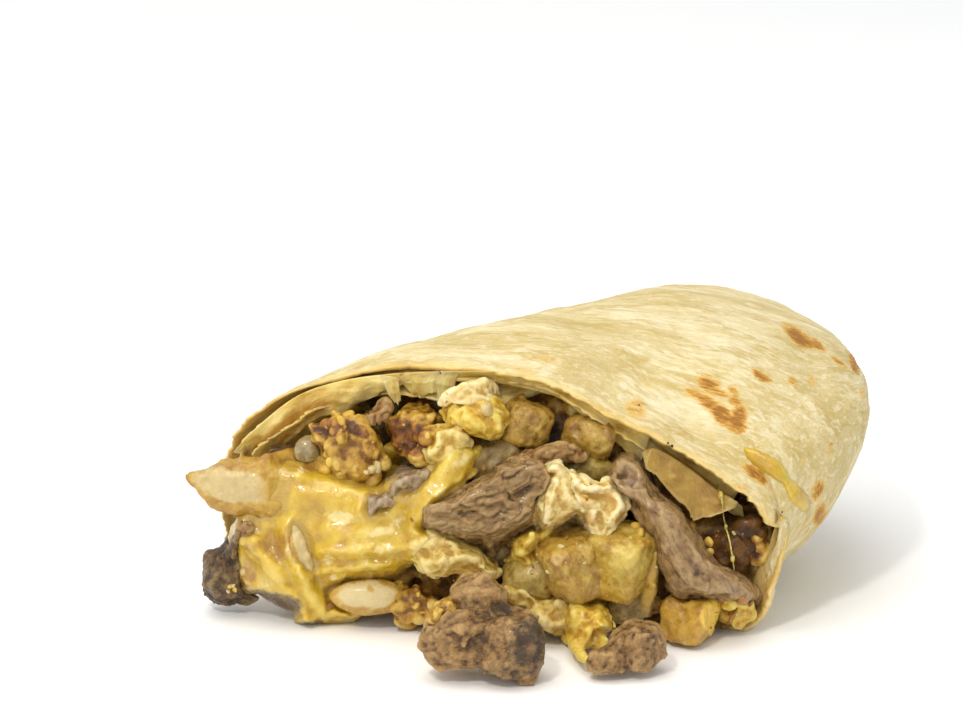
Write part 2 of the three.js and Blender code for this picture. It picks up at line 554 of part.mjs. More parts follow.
// The chopped mixture that fills the roll and bulges out of the cut.
const HEAPS = [
  { path: [[-3, 3, 5.5], [-4, -11, 5.2], [-3.5, -25.5, 4.4]], wide: [18, 15, 12], deep: [10, 9.5, 8], facing: [0, 0, 1] },
  { path: [[-45, 8, 7], [-30, 5, 9], [-14, 2, 9]], wide: [13, 17, 18], deep: [9, 11, 12] },
  { path: [[-18, 1, 12], [0, -1, 13], [16, -2, 12]], wide: [21, 24, 21], deep: [11, 12, 11] },
  { path: [[12, -2, 8], [26, -3, 8], [41, -1, 6]], wide: [15, 15, 12], deep: [10, 11, 9] },
];
// How far the filling stays under the outer face: it clears the innermost layer at each place.
function fillingInset(step, phi) {
  const degrees = THREE.MathUtils.radToDeg(phi);
  const spans = INNER_TURNS.map(({ from, to, inset, curl, depth }) => {
    const turn = degrees > from + LAYER_FADE ? degrees - 360 : degrees;
    const inSpan = smoothstep(turn, to - LAYER_FADE, to) * (1 - smoothstep(turn, from, from + LAYER_FADE));
    const inDepth = 1 - smoothstep(step / BODY_SHARE, depth, depth + DEPTH_FADE);
    const share = clamp((from - turn) / (from - to), 0, 1);
    return inSpan * inDepth * (inset + curl * smoothstep(share, CURL_START, 1));
  });
  return SHEET + FILLING_CLEARANCE + Math.max(0, ...spans);
}

function fillingInside(grow) {
  const rings = [];
  for (let ring = 0; ring < WRAP_RINGS; ring += 1) {
    const row = [];
    for (let side = 0; side < FILLING_SIDES; side += 1) {
      const phi = (side / FILLING_SIDES) * 2 * Math.PI;
      row.push(wrapPoint(ring / WRAP_RINGS, phi, fillingInset(ring / WRAP_RINGS, phi) - grow, FRONT_SETBACK, grow));
    }
    rings.push(row);
  }
  const mouth = rings[0];
  const centre = mouth.reduce((sum, point) => sum.add(point), new THREE.Vector3()).divideScalar(mouth.length);
  const front = [];
  for (let ring = 1; ring < FRONT_RINGS; ring += 1) {
    const share = ring / FRONT_RINGS;
    front.push(mouth.map((point) => {
      const place = centre.clone().lerp(point, share);
      const low = 1 - place.z / WRAP_TOP;
      place.y -= FRONT_BULGE * (1 - share * share) * low + grow;
      place.y += FILLING_LUMP * noise(place.x / FILLING_LUMP_SIZE, place.z / FILLING_LUMP_SIZE, 0, FILLING_SEED);
      return place;
    }));
  }
  const tip = wrapPoint(1, 0, SHEET + FILLING_CLEARANCE - grow);
  const pole = centre.clone();
  pole.y -= FRONT_BULGE * (1 - centre.z / WRAP_TOP) + grow;
  return skin([...front, ...rings], pole, tip);
}

function fillingSolid(grow = 0) {
  const heaps = HEAPS.map((heap, index) => foodPiece({
    ...heap,
    lump: FILLING_LUMP,
    lumpSize: FILLING_LUMP_SIZE,
    seed: FILLING_SEED + index,
    rings: HEAP_RINGS,
    sides: HEAP_SIDES,
  }, grow));
  return heaps.reduce((sum, heap) => sum.add(heap), fillingInside(grow));
}

function pieceSolid(piece, grow = 0) {
  const kind = KINDS[piece.kind];
  const solids = piece.sweeps.map((sweep, index) => {
    const shape = { ...kind, ...piece, ...sweep };
    return foodPiece({ ...shape, seed: piece.seed * 7 + index }, grow);
  });
  return solids.reduce((whole, solid) => whole.add(solid));
}

function addNode(group, name, kindName, solid) {
  const { color, roughness } = KINDS[kindName];
  const material = new THREE.MeshStandardMaterial({ color, roughness, metalness: 0 });
  const mesh = new THREE.Mesh(toGeometry(solid), material);
  mesh.name = name;
  group.add(mesh);
}

// The wrap stays whole, the filling is cut by it, and each piece by what was made before it.
function buildBurrito() {
  const group = new THREE.Group();
  addNode(group, 'tortilla_wrap', 'tortilla', tortilla());
  let taken = tortilla(GAP);
  const fill = (name, kindName, shape) => {
    const solid = largestBody(shape().intersect(aboveTable).subtract(taken)).simplify(TIDY);
    addNode(group, name, kindName, solid);
    taken = taken.add(shape(GAP));
  };
  fill('filling', 'filling', fillingSolid);
  taken = taken.add(fillingSolid());
  PIECES.forEach((piece) => fill(piece.name, piece.kind, (grow) => pieceSolid(piece, grow)));
  const box = new THREE.Box3().setFromObject(group);
  const middle = box.getCenter(new THREE.Vector3());
  group.position.set(-middle.x, -middle.y, -box.min.z);
  return group;
}

export default buildBurrito();
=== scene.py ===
"""Half of a cut breakfast burrito, lying on its side: what shows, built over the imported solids."""

import math

import bpy
import numpy as np
from mathutils import Euler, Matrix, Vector
from mathutils.bvhtree import BVHTree


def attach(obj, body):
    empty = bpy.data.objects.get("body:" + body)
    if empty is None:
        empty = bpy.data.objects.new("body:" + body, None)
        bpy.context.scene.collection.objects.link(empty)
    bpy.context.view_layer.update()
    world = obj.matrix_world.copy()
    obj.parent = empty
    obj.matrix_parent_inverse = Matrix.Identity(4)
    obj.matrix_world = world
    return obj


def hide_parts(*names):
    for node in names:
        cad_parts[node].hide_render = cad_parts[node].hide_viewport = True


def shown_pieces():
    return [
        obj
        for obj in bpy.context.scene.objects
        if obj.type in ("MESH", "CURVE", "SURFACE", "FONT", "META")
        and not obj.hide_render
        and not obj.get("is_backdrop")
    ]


bl_info = {
    "name": "Cut Burrito",
    "version": (1, 0, 0),
    "blender": (4, 5, 0),
    "location": "View3D > Sidebar > Burrito",
    "description": "Builds the wrap, the filling and the melted cheese of a cut breakfast burrito",
    "category": "Object",
}

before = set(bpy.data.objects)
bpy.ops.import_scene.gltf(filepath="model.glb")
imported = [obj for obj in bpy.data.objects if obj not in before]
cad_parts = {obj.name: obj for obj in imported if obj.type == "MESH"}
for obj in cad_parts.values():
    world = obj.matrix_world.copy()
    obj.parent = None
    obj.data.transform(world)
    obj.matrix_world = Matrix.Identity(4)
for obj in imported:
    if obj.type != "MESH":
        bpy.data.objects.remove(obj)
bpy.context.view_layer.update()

# Lengths in this file are millimetres unless a name says otherwise.
METRE = 1000.0
# Drawing positions are measured from the middle of the cut; this moves them to the part's frame.
TO_FRAME = np.array([-6.30, -16.45, 0.0])

# ---- Camera ----

# A view position is a place in the camera's view, in steps right of and below its top left corner.
VIEW_WIDTH = 963
VIEW_HEIGHT = 711
CAMERA_ELEVATION = math.radians(17)
CAMERA_DISTANCE = 700.0
CAMERA_LENS = 137.73
SENSOR_WIDTH = 36.0
CAMERA_TARGET = np.array([-3.5, 0.0, 52.9]) + TO_FRAME
FOCAL_PIXELS = CAMERA_LENS / SENSOR_WIDTH * VIEW_WIDTH
CAMERA_BACK = np.array([0.0, -math.cos(CAMERA_ELEVATION), math.sin(CAMERA_ELEVATION)])
CAMERA_UP = np.array([0.0, math.sin(CAMERA_ELEVATION), math.cos(CAMERA_ELEVATION)])
CAMERA_RIGHT = np.array([1.0, 0.0, 0.0])
CAMERA_PLACE = CAMERA_TARGET + CAMERA_BACK * CAMERA_DISTANCE
# Steps of the view for each millimetre at the cut.
STEPS_PER_MM = 5.2


def view_place(points):
    """View positions of points of the frame."""
    away = points - CAMERA_PLACE
    depth = -(away @ CAMERA_BACK)
    x = VIEW_WIDTH / 2 + FOCAL_PIXELS * (away @ CAMERA_RIGHT) / depth
    y = VIEW_HEIGHT / 2 - FOCAL_PIXELS * (away @ CAMERA_UP) / depth
    return np.stack([x, y], 1)


def sight_line(x, y):
    """Direction in which the camera sees a view position."""
    line = (x - VIEW_WIDTH / 2) / FOCAL_PIXELS * CAMERA_RIGHT
    line = line + (VIEW_HEIGHT / 2 - y) / FOCAL_PIXELS * CAMERA_UP - CAMERA_BACK
    return line / np.linalg.norm(line)


# ---- Small mathematics ----


def smoothstep(x, low, high):
    """Rises from 0 at low to 1 at high, eased at both ends."""
    t = np.clip((x - low) / (high - low), 0.0, 1.0)
    return t * t * (3 - 2 * t)


def lerp(a, b, t):
    """The value a share t of the way from a to b."""
    return a + (b - a) * t


def signed_power(value, power):
    """A power that keeps the sign of its value."""
    return np.sign(value) * np.abs(value) ** power


def lattice(ix, iy, iz, seed):
    """Seeded random number from 0 to 1 at each whole-numbered corner."""
    mask = np.uint64(0xFFFFFFFF)
    third = np.uint64((2147483647 ^ (int(seed) * 40503)) & 0xFFFFFFFF)
    h = (ix.astype(np.int64).view(np.uint64) * np.uint64(374761393)) & mask
    h ^= (iy.astype(np.int64).view(np.uint64) * np.uint64(668265263)) & mask
    h ^= (iz.astype(np.int64).view(np.uint64) * third) & mask
    h = ((h ^ (h >> np.uint64(13))) * np.uint64(1274126177)) & mask
    h = h ^ (h >> np.uint64(16))
    return h.astype(np.float64) / 4294967295.0


def noise(x, y, z, seed):
    """Smooth seeded noise from -1 to 1, one lump for each unit of length."""
    x, y, z = np.broadcast_arrays(*[np.asarray(v, dtype=np.float64) for v in (x, y, z)])
    ix, iy, iz = np.floor(x), np.floor(y), np.floor(z)
    u, v, w = [f * f * (3 - 2 * f) for f in (x - ix, y - iy, z - iz)]
    total = np.zeros(x.shape)
    for corner in range(8):
        dx, dy, dz = corner & 1, (corner >> 1) & 1, (corner >> 2) & 1
        weight = (u if dx else 1 - u) * (v if dy else 1 - v) * (w if dz else 1 - w)
        total += weight * lattice(ix + dx, iy + dy, iz + dz, seed)
    return total * 2 - 1


TURN = np.array([[0.36, 0.48, -0.8], [-0.8, 0.6, 0.0], [0.48, 0.64, 0.6]])


def layers(points, size, octaves, seed, gain=0.5):
    """Noise of several sizes, each half of the one before it, from about -1 to 1."""
    place = points / size
    total, share, whole = 0.0, 1.0, 0.0
    for octave in range(octaves):
        total = total + share * noise(place[:, 0], place[:, 1], place[:, 2], seed + octave)
        whole += share
        share *= gain
        place = (place @ TURN.T) * 2.03 + 7.7
    return total / whole


def warped(points, size, amount, seed):
    """Points pushed about by slow noise, so that what is drawn on them wanders."""
    shift = [layers(points + 31.7 * k, size, 2, seed + 50 + k) for k in range(3)]
    return points + amount * np.stack(shift, 1)


# ---- Meshes ----


def read_mesh(mesh):
    """Corners and quads of a mesh; a triangle repeats its last corner."""
    points = np.empty(len(mesh.vertices) * 3, np.float32)
    mesh.vertices.foreach_get("co", points)
    starts = np.empty(len(mesh.polygons), np.int32)
    counts = np.empty(len(mesh.polygons), np.int32)
    loops = np.empty(len(mesh.loops), np.int32)
    mesh.polygons.foreach_get("loop_start", starts)
    mesh.polygons.foreach_get("loop_total", counts)
    mesh.loops.foreach_get("vertex_index", loops)
    quads = np.stack([loops[starts + np.minimum(k, counts - 1)] for k in range(4)], 1)
    return points.reshape(-1, 3).astype(np.float64), quads


def solid_mesh(name):
    """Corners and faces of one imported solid."""
    points, quads = read_mesh(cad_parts[name].data)
    return points * METRE, quads


def write_mesh(name, points, quads):
    """New mesh from corners and faces given as quads; a repeated corner makes a triangle."""
    mesh = bpy.data.meshes.new(name)
    quads = np.asarray(quads)
    if quads.shape[1] == 3:
        quads = np.column_stack([quads, quads[:, 2]])
    triangle = quads[:, 2] == quads[:, 3]
    counts = np.where(triangle, 3, 4)
    keep = np.ones(quads.shape, bool)
    keep[triangle, 3] = False
    starts = np.concatenate([[0], np.cumsum(counts)[:-1]])
    mesh.vertices.add(len(points))
    mesh.vertices.foreach_set("co", np.asarray(points, np.float32).ravel())
    mesh.loops.add(int(counts.sum()))
    mesh.loops.foreach_set("vertex_index", quads[keep].astype(np.int32))
    mesh.polygons.add(len(quads))
    mesh.polygons.foreach_set("loop_start", starts.astype(np.int32))
    mesh.polygons.foreach_set("loop_total", counts.astype(np.int32))
    mesh.update(calc_edges=True)
    return mesh


def joined(parts):
    """Several meshes as one list of corners and one of faces."""
    points, quads, offset = [], [], 0
    for part_points, part_quads in parts:
        part_quads = np.asarray(part_quads)
        if part_quads.shape[1] == 3:
            part_quads = np.column_stack([part_quads, part_quads[:, 2]])
        points.append(part_points)
        quads.append(part_quads + offset)
        offset += len(part_points)
    return np.concatenate(points), np.concatenate(quads)


def one_skin(parts, grain_size):
    """One closed skin of small quads round closed meshes that may run into each other."""
    work = bpy.data.objects.new("work", write_mesh("work", *joined(parts)))
    bpy.context.scene.collection.objects.link(work)
    remesh = work.modifiers.new("skin", "REMESH")
    remesh.mode = "VOXEL"
    remesh.voxel_size = grain_size
    seen = work.evaluated_get(bpy.context.evaluated_depsgraph_get())
    mesh = bpy.data.meshes.new_from_object(seen)
    points, quads = read_mesh(mesh)
    bpy.data.objects.remove(work)
    bpy.data.meshes.remove(mesh)
    return points, quads


def softened(points, quads, times, share=0.5):
    """The same mesh with each corner moved towards its neighbours."""
    starts = quads.ravel()
    ends = np.roll(quads, -1, axis=1).ravel()
    real = starts != ends
    starts, ends = starts[real], ends[real]
    count = np.bincount(starts, minlength=len(points)) + np.bincount(ends, minlength=len(points))
    count = np.maximum(count, 1)[:, None]
    for _ in range(times):
        total = [
            np.bincount(starts, points[ends, k], len(points))
            + np.bincount(ends, points[starts, k], len(points))
            for k in range(3)
        ]
        points = lerp(points, np.stack(total, 1) / count, share)
    return points


def facing(points, quads):
    """Outward direction at each corner."""
    across = points[quads[:, 2]] - points[quads[:, 0]]
    along = points[quads[:, 3]] - points[quads[:, 1]]
    flat = np.cross(across, along)
    total = np.zeros(points.shape)
    for corner in range(4):
        for k in range(3):
            total[:, k] += np.bincount(quads[:, corner], flat[:, k], len(points))
    return total / np.maximum(np.linalg.norm(total, axis=1, keepdims=True), 1e-12)


def above_table(points):
    """Keeps corners from going under the table."""
    points[:, 2] = np.maximum(points[:, 2], 0.0)
    return points


def piece(name, points, quads, material, values=None, stands_for=()):
    """A finished piece that rides on the body, with a number for each corner under each name."""
    mesh = write_mesh(name, points / METRE, quads)
    mesh.polygons.foreach_set("use_smooth", np.ones(len(mesh.polygons), bool))
    for key, numbers in (values or {}).items():
        numbers = np.asarray(numbers, np.float32)
        form = "FLOAT_VECTOR" if numbers.ndim == 2 else "FLOAT"
        field = "vector" if numbers.ndim == 2 else "value"
        mesh.attributes.new(key, form, "POINT").data.foreach_set(field, numbers.ravel())
    mesh.materials.append(material)
    made = bpy.data.objects.new(name, mesh)
    bpy.context.scene.collection.objects.link(made)
    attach(made, "root")
    if stands_for:
        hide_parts(*stands_for)
    return made


# ---- Where the camera's lines of sight meet the solids ----


class Sight:
    """Finds the place on the solids, or on the finished pieces, that lies under a view position."""

    tree = None

    @classmethod
    def look(cls, meshes):
        """From now on these meshes are what is seen."""
        points, quads = joined(meshes)
        faces = [tuple(dict.fromkeys(q)) for q in quads.tolist()]
        cls.tree = BVHTree.FromPolygons(points.tolist(), faces)

    @classmethod
    def look_at_pieces(cls):
        """From now on the finished pieces are what is seen."""
        shown = [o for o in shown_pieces() if not o.name.startswith("tortilla_wrap")]
        meshes = [read_mesh(o.data) for o in shown]
        cls.look([(points * METRE, quads) for points, quads in meshes])

    @classmethod
    def hit(cls, x, y):
        """Place, outward direction and distance under a view position; None where only table shows."""
        place, direction, _, away = cls.tree.ray_cast(Vector(CAMERA_PLACE), Vector(sight_line(x, y)))
        if place is None:
            return None
        return np.array(place), np.array(direction), away


def at(x, y, back):
    """Place under a view position at a distance back from the cut's middle."""
    line = sight_line(x, y)
    away = (back + TO_FRAME[1] - CAMERA_PLACE[1]) / line[1]
    return CAMERA_PLACE + line * away


# ---- Sweeps ----


def curve_through(path, u):
    """Places and directions on a smooth curve through points, at shares u of its length."""
    path = np.asarray(path, float)
    ends = np.vstack([2 * path[0] - path[1], path, 2 * path[-1] - path[-2]])
    spot = np.clip(u, 0, 1) * (len(path) - 1)
    left = np.minimum(spot.astype(int), len(path) - 2)
    t = (spot - left)[:, None]
    a, b, c, d = [ends[left + k] for k in range(4)]
    second, third = 2 * a - 5 * b + 4 * c - d, 3 * b - a - 3 * c + d
    place = 0.5 * (2 * b + (c - a) * t + second * t**2 + third * t**3)
    speed = 0.5 * ((c - a) + 2 * second * t + 3 * third * t**2)
    return place, speed / np.maximum(np.linalg.norm(speed, axis=1, keepdims=True), 1e-9)


def flat_curve(path, count):
    """Evenly spaced view positions on a smooth curve through view positions."""
    return curve_through(np.column_stack([path, np.zeros(len(path))]), np.linspace(0, 1, count))[0][:, :2]


def stations(values, u):
    """Value between evenly spaced stations, eased."""
    values = np.atleast_1d(np.asarray(values, float))
    if len(values) == 1:
        return np.full(len(u), values[0])
    spot = np.clip(u, 0, 1) * (len(values) - 1)
    left = np.minimum(spot.astype(int), len(values) - 2)
    return lerp(values[left], values[left + 1], smoothstep(spot - left, 0, 1))


def sweep(path, wide, deep, face=(0, -1, 0), rings=24, sides=20, blunt=2.4, corner=2.3):
    """Closed rounded body along a path; wide lies across it and deep towards face."""
    u = 0.5 - 0.5 * np.cos(np.linspace(0, math.pi, rings + 2))[1:-1]
    centre, along = curve_through(path, u)
    scale = np.maximum(1 - np.abs(2 * u - 1) ** blunt, 0) ** (1 / blunt)
    side = np.cross(along, np.asarray(face, float))
    side /= np.maximum(np.linalg.norm(side, axis=1, keepdims=True), 1e-9)
    front = np.cross(side, along)
    angle = np.linspace(0, 2 * math.pi, sides, endpoint=False)
    across = signed_power(np.cos(angle), 2 / corner)[None, :, None]
    forward = signed_power(np.sin(angle), 2 / corner)[None, :, None]
    half_wide = (stations(wide, u) / 2 * scale)[:, None, None]
    half_deep = (stations(deep, u) / 2 * scale)[:, None, None]
    rows = centre[:, None] + side[:, None] * across * half_wide + front[:, None] * forward * half_deep
    tips, _ = curve_through(path, np.array([0.0, 1.0]))
    return capped_rows(rows, tips[0], tips[1])


def laid(path, wide, deep, sink=0.5, **form):
    """A sweep laid along view positions on what is seen there, sunk in by a share of its depth."""
    path = np.asarray(path, float)
    found = [Sight.hit(x, y) for x, y in path]
    known = [h[2] for h in found if h is not None]
    table = [-CAMERA_PLACE[2] / sight_line(x, y)[2] for x, y in path]
    away = np.array([h[2] if h is not None else min(np.median(known), t) for h, t in zip(found, table)])
    smooth = np.concatenate([[away[0]], 0.25 * away[:-2] + 0.5 * away[1:-1] + 0.25 * away[2:], [away[-1]]])
    thick = stations(deep, np.linspace(0, 1, len(path)))
    lines = np.stack([sight_line(x, y) for x, y in path])
    places = CAMERA_PLACE + lines * (smooth - thick * (0.5 - sink))[:, None]
    return sweep(places, wide, deep, face=CAMERA_BACK, **form)


def seat(x, y, depth, out=0.9):
    """Middle of a body of a given depth that stands out a little from what is seen at a view position."""
    found = Sight.hit(x, y)
    if found is None:
        raise ValueError(f"nothing lies under view position {x}, {y}")
    return found[0] + sight_line(x, y) * (depth / 2 - min(out, 0.35 * depth))


# Seeds of single lumps are drawn below this.
SEEDS = 1 << 30
LUMP_STEPS = 12


def lumps(spots, seed, out=0.9):
    """Uneven round lumps; each spot is a view position and a radius."""
    chance = np.random.default_rng(seed)
    made = []
    for x, y, radius in spots:
        size = 2 * radius * chance.uniform(0.8, 1.2, 3)
        turn = chance.uniform(0, 180, 3)
        own_seed, corner = chance.integers(SEEDS), chance.uniform(1.9, 3.2)
        made.append(dice(seat(x, y, 2 * radius, out), size, turn, own_seed, corner, LUMP_STEPS))
    return made


def scattered(points, quads, share, small, large, squareness, seed):
    """Small uneven lumps strewn over a skin; share is how many there are for each square millimetre."""
    chance = np.random.default_rng(seed)
    outward = facing(points, quads)
    a, b, c, d = [points[quads[:, k]] for k in range(4)]
    area = np.linalg.norm(np.cross(c - a, d - b), axis=1).sum() / 2
    made = []
    for pick in chance.integers(0, len(points), int(area * share)):
        radius = lerp(small, large, chance.random() ** 2.2)
        size = 2 * radius * chance.uniform(0.7, 1.35, 3)
        centre = points[pick] - outward[pick] * radius * chance.uniform(0.1, 0.6)
        steps = 6 if radius < 1.6 else 9
        turn, own_seed = chance.uniform(0, 180, 3), chance.integers(SEEDS)
        made.append(dice(centre, size, turn, own_seed, chance.uniform(1.9, squareness), steps, 1.2))
    return made


def dice(centre, size, turn, seed, corner, steps, uneven=0.6):
    """A cut cube with soft edges and slightly slanted faces; turn is in degrees about x, y and z."""
    u = np.linspace(-1, 1, steps)
    a, b = np.meshgrid(u, u, indexing="ij")
    faces = []
    for axis in range(3):
        for sign in (-1, 1):
            shape = [None, None, None]
            shape[axis] = np.full(a.shape, float(sign))
            shape[(axis + 1) % 3], shape[(axis + 2) % 3] = (a, b) if sign > 0 else (b, a)
            faces.append(np.stack(shape, -1).reshape(-1, 3))
    index = np.arange(steps * steps).reshape(steps, steps)
    quad = np.stack([index[:-1, :-1], index[1:, :-1], index[1:, 1:], index[:-1, 1:]], -1).reshape(-1, 4)
    points = np.concatenate(faces)
    quads = np.concatenate([quad + k * steps * steps for k in range(6)])
    points = points / (np.abs(points) ** corner).sum(1, keepdims=True) ** (1 / corner)
    shear = np.random.default_rng(seed).uniform(-0.22, 0.22, (3, 3))
    points = points @ (np.eye(3) + shear * uneven)
    points = points * np.asarray(size, float) / 2
    rx, ry, rz = np.radians(turn)
    spin = np.array(Euler((rx, ry, rz)).to_matrix())
    return points @ spin.T + np.asarray(centre), quads


def capped_rows(rows, first, last):
    """Closed skin from rings of equal length with a point at each end."""
    count, sides = rows.shape[:2]
    points = np.vstack([first, rows.reshape(-1, 3), last])
    here = 1 + np.arange(count)[:, None] * sides + np.arange(sides)[None, :]
    turned = np.roll(here, -1, axis=1)
    body = np.stack([here[:-1], turned[:-1], turned[1:], here[1:]], -1).reshape(-1, 4)
    start = np.stack([np.zeros(sides, int), turned[0], here[0], here[0]], 1)
    end = np.stack([np.full(sides, len(points) - 1), here[-1], turned[-1], turned[-1]], 1)
    return points, np.vstack([start, body, end])


# ---- Materials ----


# Nearly all values of a noise node lie between these.
NOISE_LOW, NOISE_HIGH = 0.3, 0.7


def tint(colour):
    """A colour given as 0 to 255, or as a setting from 0 to 1, turned into light."""
    values = [c / 255 if max(colour) > 1 else c for c in colour]
    light = [c / 12.92 if c <= 0.04045 else ((c + 0.055) / 1.055) ** 2.4 for c in values]
    return (*light, 1.0)


class Finish:
    """A material while its nodes are laid out."""

    def __init__(self, name):
        self.material = bpy.data.materials.new(name)
        self.material.use_nodes = True
        self.nodes = self.material.node_tree.nodes
        self.links = self.material.node_tree.links
        self.shader = self.nodes["Principled BSDF"]
        self.place = self.nodes.new("ShaderNodeTexCoord").outputs["Object"]

    def _set(self, socket, value):
        """Joins a socket to an output, or gives it a value or a colour."""
        if hasattr(value, "is_linked"):
            self.links.new(value, socket)
        elif hasattr(value, "__len__") and len(value) == 3 and len(socket.default_value) == 4:
            socket.default_value = tint(value)
        else:
            socket.default_value = value

    def _node(self, kind, output, inputs, **settings):
        """A new node with its inputs set or joined; what comes back is one of its outputs."""
        node = self.nodes.new("ShaderNode" + kind)
        for key, value in settings.items():
            setattr(node, key, value)
        for key, value in inputs.items():
            self._set(node.inputs[key], value)
        return node.outputs[output]

    def stretch(self, place, scale):
        """Positions scaled, so that a pattern drawn on them is finer along the larger scale."""
        return self._node("Mapping", "Vector", {"Vector": place, "Scale": scale})

    def noise(self, size, detail=4.0, roughness=0.55, place=None, distortion=0.0):
        """Soft noise with lumps of a size in millimetres."""
        return self._node("TexNoise", "Fac", {
            "Vector": place or self.place, "Scale": METRE / size, "Detail": detail, "Roughness": roughness,
            "Distortion": distortion,
        })

    def kept(self, key):
        """A number stored at the corners of the mesh."""
        return self._node("Attribute", "Fac", {}, attribute_name=key)

    def kept_place(self, key):
        """A place stored at the corners of the mesh."""
        return self._node("Attribute", "Vector", {}, attribute_name=key)

    def span(self, value, low, high, to_low=0.0, to_high=1.0):
        """A value stretched from one range to another and held inside it."""
        return self._node("MapRange", "Result", {
            "From Min": low, "From Max": high, "To Min": to_low, "To Max": to_high, "Value": value,
        })

    def sum(self, a, b):
        """Two values added."""
        return self._node("Math", 0, {0: a, 1: b})

    def blend(self, share, a, b):
        """Colour a with a share of colour b over it; the numbers are the colour sockets of the node."""
        return self._node("Mix", 2, {0: share, 6: a, 7: b}, data_type="RGBA")

    def sway(self, noise, amount):
        """Noise turned into a shift from minus to plus an amount."""
        return self.span(noise, NOISE_LOW, NOISE_HIGH, -amount, amount)

    def over(self, colour, tone, value, low, high, most):
        """A tone laid over a colour, from none at the low value to a share of it at the high one."""
        return self.blend(self.span(value, low, high, 0, most), colour, tone)

    def shades(self, value, stops):
        """Colours laid out along a value; a stop is a place from 0 to 1 and a colour."""
        node = self.nodes.new("ShaderNodeValToRGB")
        ramp = node.color_ramp
        while len(ramp.elements) < len(stops):
            ramp.elements.new(0.5)
        for element, (spot, colour) in zip(ramp.elements, stops):
            element.position = spot
            element.color = tint(colour)
        self._set(node.inputs["Fac"], value)
        return node.outputs["Color"]

    def relief(self, height, depth, below=None):
        """Bump of a depth in millimetres."""
        inputs = {"Strength": 1.0, "Distance": depth / METRE, "Height": height}
        if below is not None:
            inputs["Normal"] = below
        return self._node("Bump", "Normal", inputs)

    def done(self, colour, roughness, bump=None, glow=0.0, reach=1.0, radius=(1.0, 0.6, 0.3), coat=0.0,
             coat_roughness=0.15, specular=0.5):
        """Joins colour, roughness and bump to the shader; glow is the share of light that soaks in."""
        inputs = {
            "Base Color": colour, "Roughness": roughness, "Subsurface Weight": glow,
            "Subsurface Scale": reach / METRE, "Subsurface Radius": radius, "Coat Weight": coat,
            "Coat Roughness": coat_roughness, "Specular IOR Level": specular,
        }
        if bump is not None:
            inputs["Normal"] = bump
        for key, value in inputs.items():
            self._set(self.shader.inputs[key], value)
        return self.material


def tortilla_finish(look):
    """Baked flour sheet: pale flakes running round the roll, damp patches and toasted spots."""
    f = Finish("baked_tortilla")
    roll = f.kept_place("roll")
    round_roll = f.stretch(roll, (1.0, 0.55, 0.7))
    flakes = f.noise(1.3, 7, 0.62, round_roll, 0.8)
    fine = f.noise(0.6, 5, 0.65, f.stretch(roll, (1.0, 0.75, 0.8)), 0.8)
    patches = f.noise(13, 4, 0.6, f.stretch(roll, (1.0, 0.7, 0.6)), 0.6)
    damp = f.noise(4.2, 7, 0.62, f.stretch(roll, (1.0, 0.55, 0.6)), 0.9)
    colour = f.shades(patches, [(0.3, look.shade), (0.5, look.flour), (0.68, look.pale)])
    colour = f.over(colour, look.damp, damp, 0.48, 0.62, 0.75)
    dry = f.sum(flakes, f.span(patches, 0.3, 0.7, -0.08, 0.06))
    colour = f.over(colour, look.flake, dry, 0.48, 0.62, 0.6)
    colour = f.blend(f.span(fine, 0.36, 0.46, 0.4, 0), colour, look.damp)
    colour = f.over(colour, look.flake, fine, 0.56, 0.66, 0.45)
    speckle = f.noise(0.6, 5, 0.7, f.stretch(roll, (1.0, 0.5, 0.6)), 0.2)
    broken = f.sum(f.kept("toast"), f.sum(f.span(speckle, 0.3, 0.7, -0.7, 0.6), f.sway(damp, 0.3)))
    faint = f.sum(f.kept("toast"), f.sway(flakes, 0.2))
    colour = f.over(colour, look.golden, faint, 0.16, 0.5, 0.7)
    colour = f.over(colour, look.toast, broken, 0.42, 0.75, 0.9)
    colour = f.over(colour, look.char, broken, 0.85, 1.3, 0.85)
    colour = f.over(colour, look.inner, f.sum(f.kept("edge"), f.sway(flakes, 0.3)), 0.35, 1.0, 0.6)
    colour = f.over(colour, look.soaked, f.kept("soaked"), 0.0, 1.0, 0.85)
    bump = f.relief(damp, 0.45)
    bump = f.relief(flakes, 0.22, bump)
    bump = f.relief(fine, 0.1, bump)
    rough = f.span(flakes, 0.3, 0.7, 0.5, 0.8)
    return f.done(colour, rough, bump, glow=0.25, reach=1.0, radius=(1.0, 0.75, 0.4), specular=0.3)


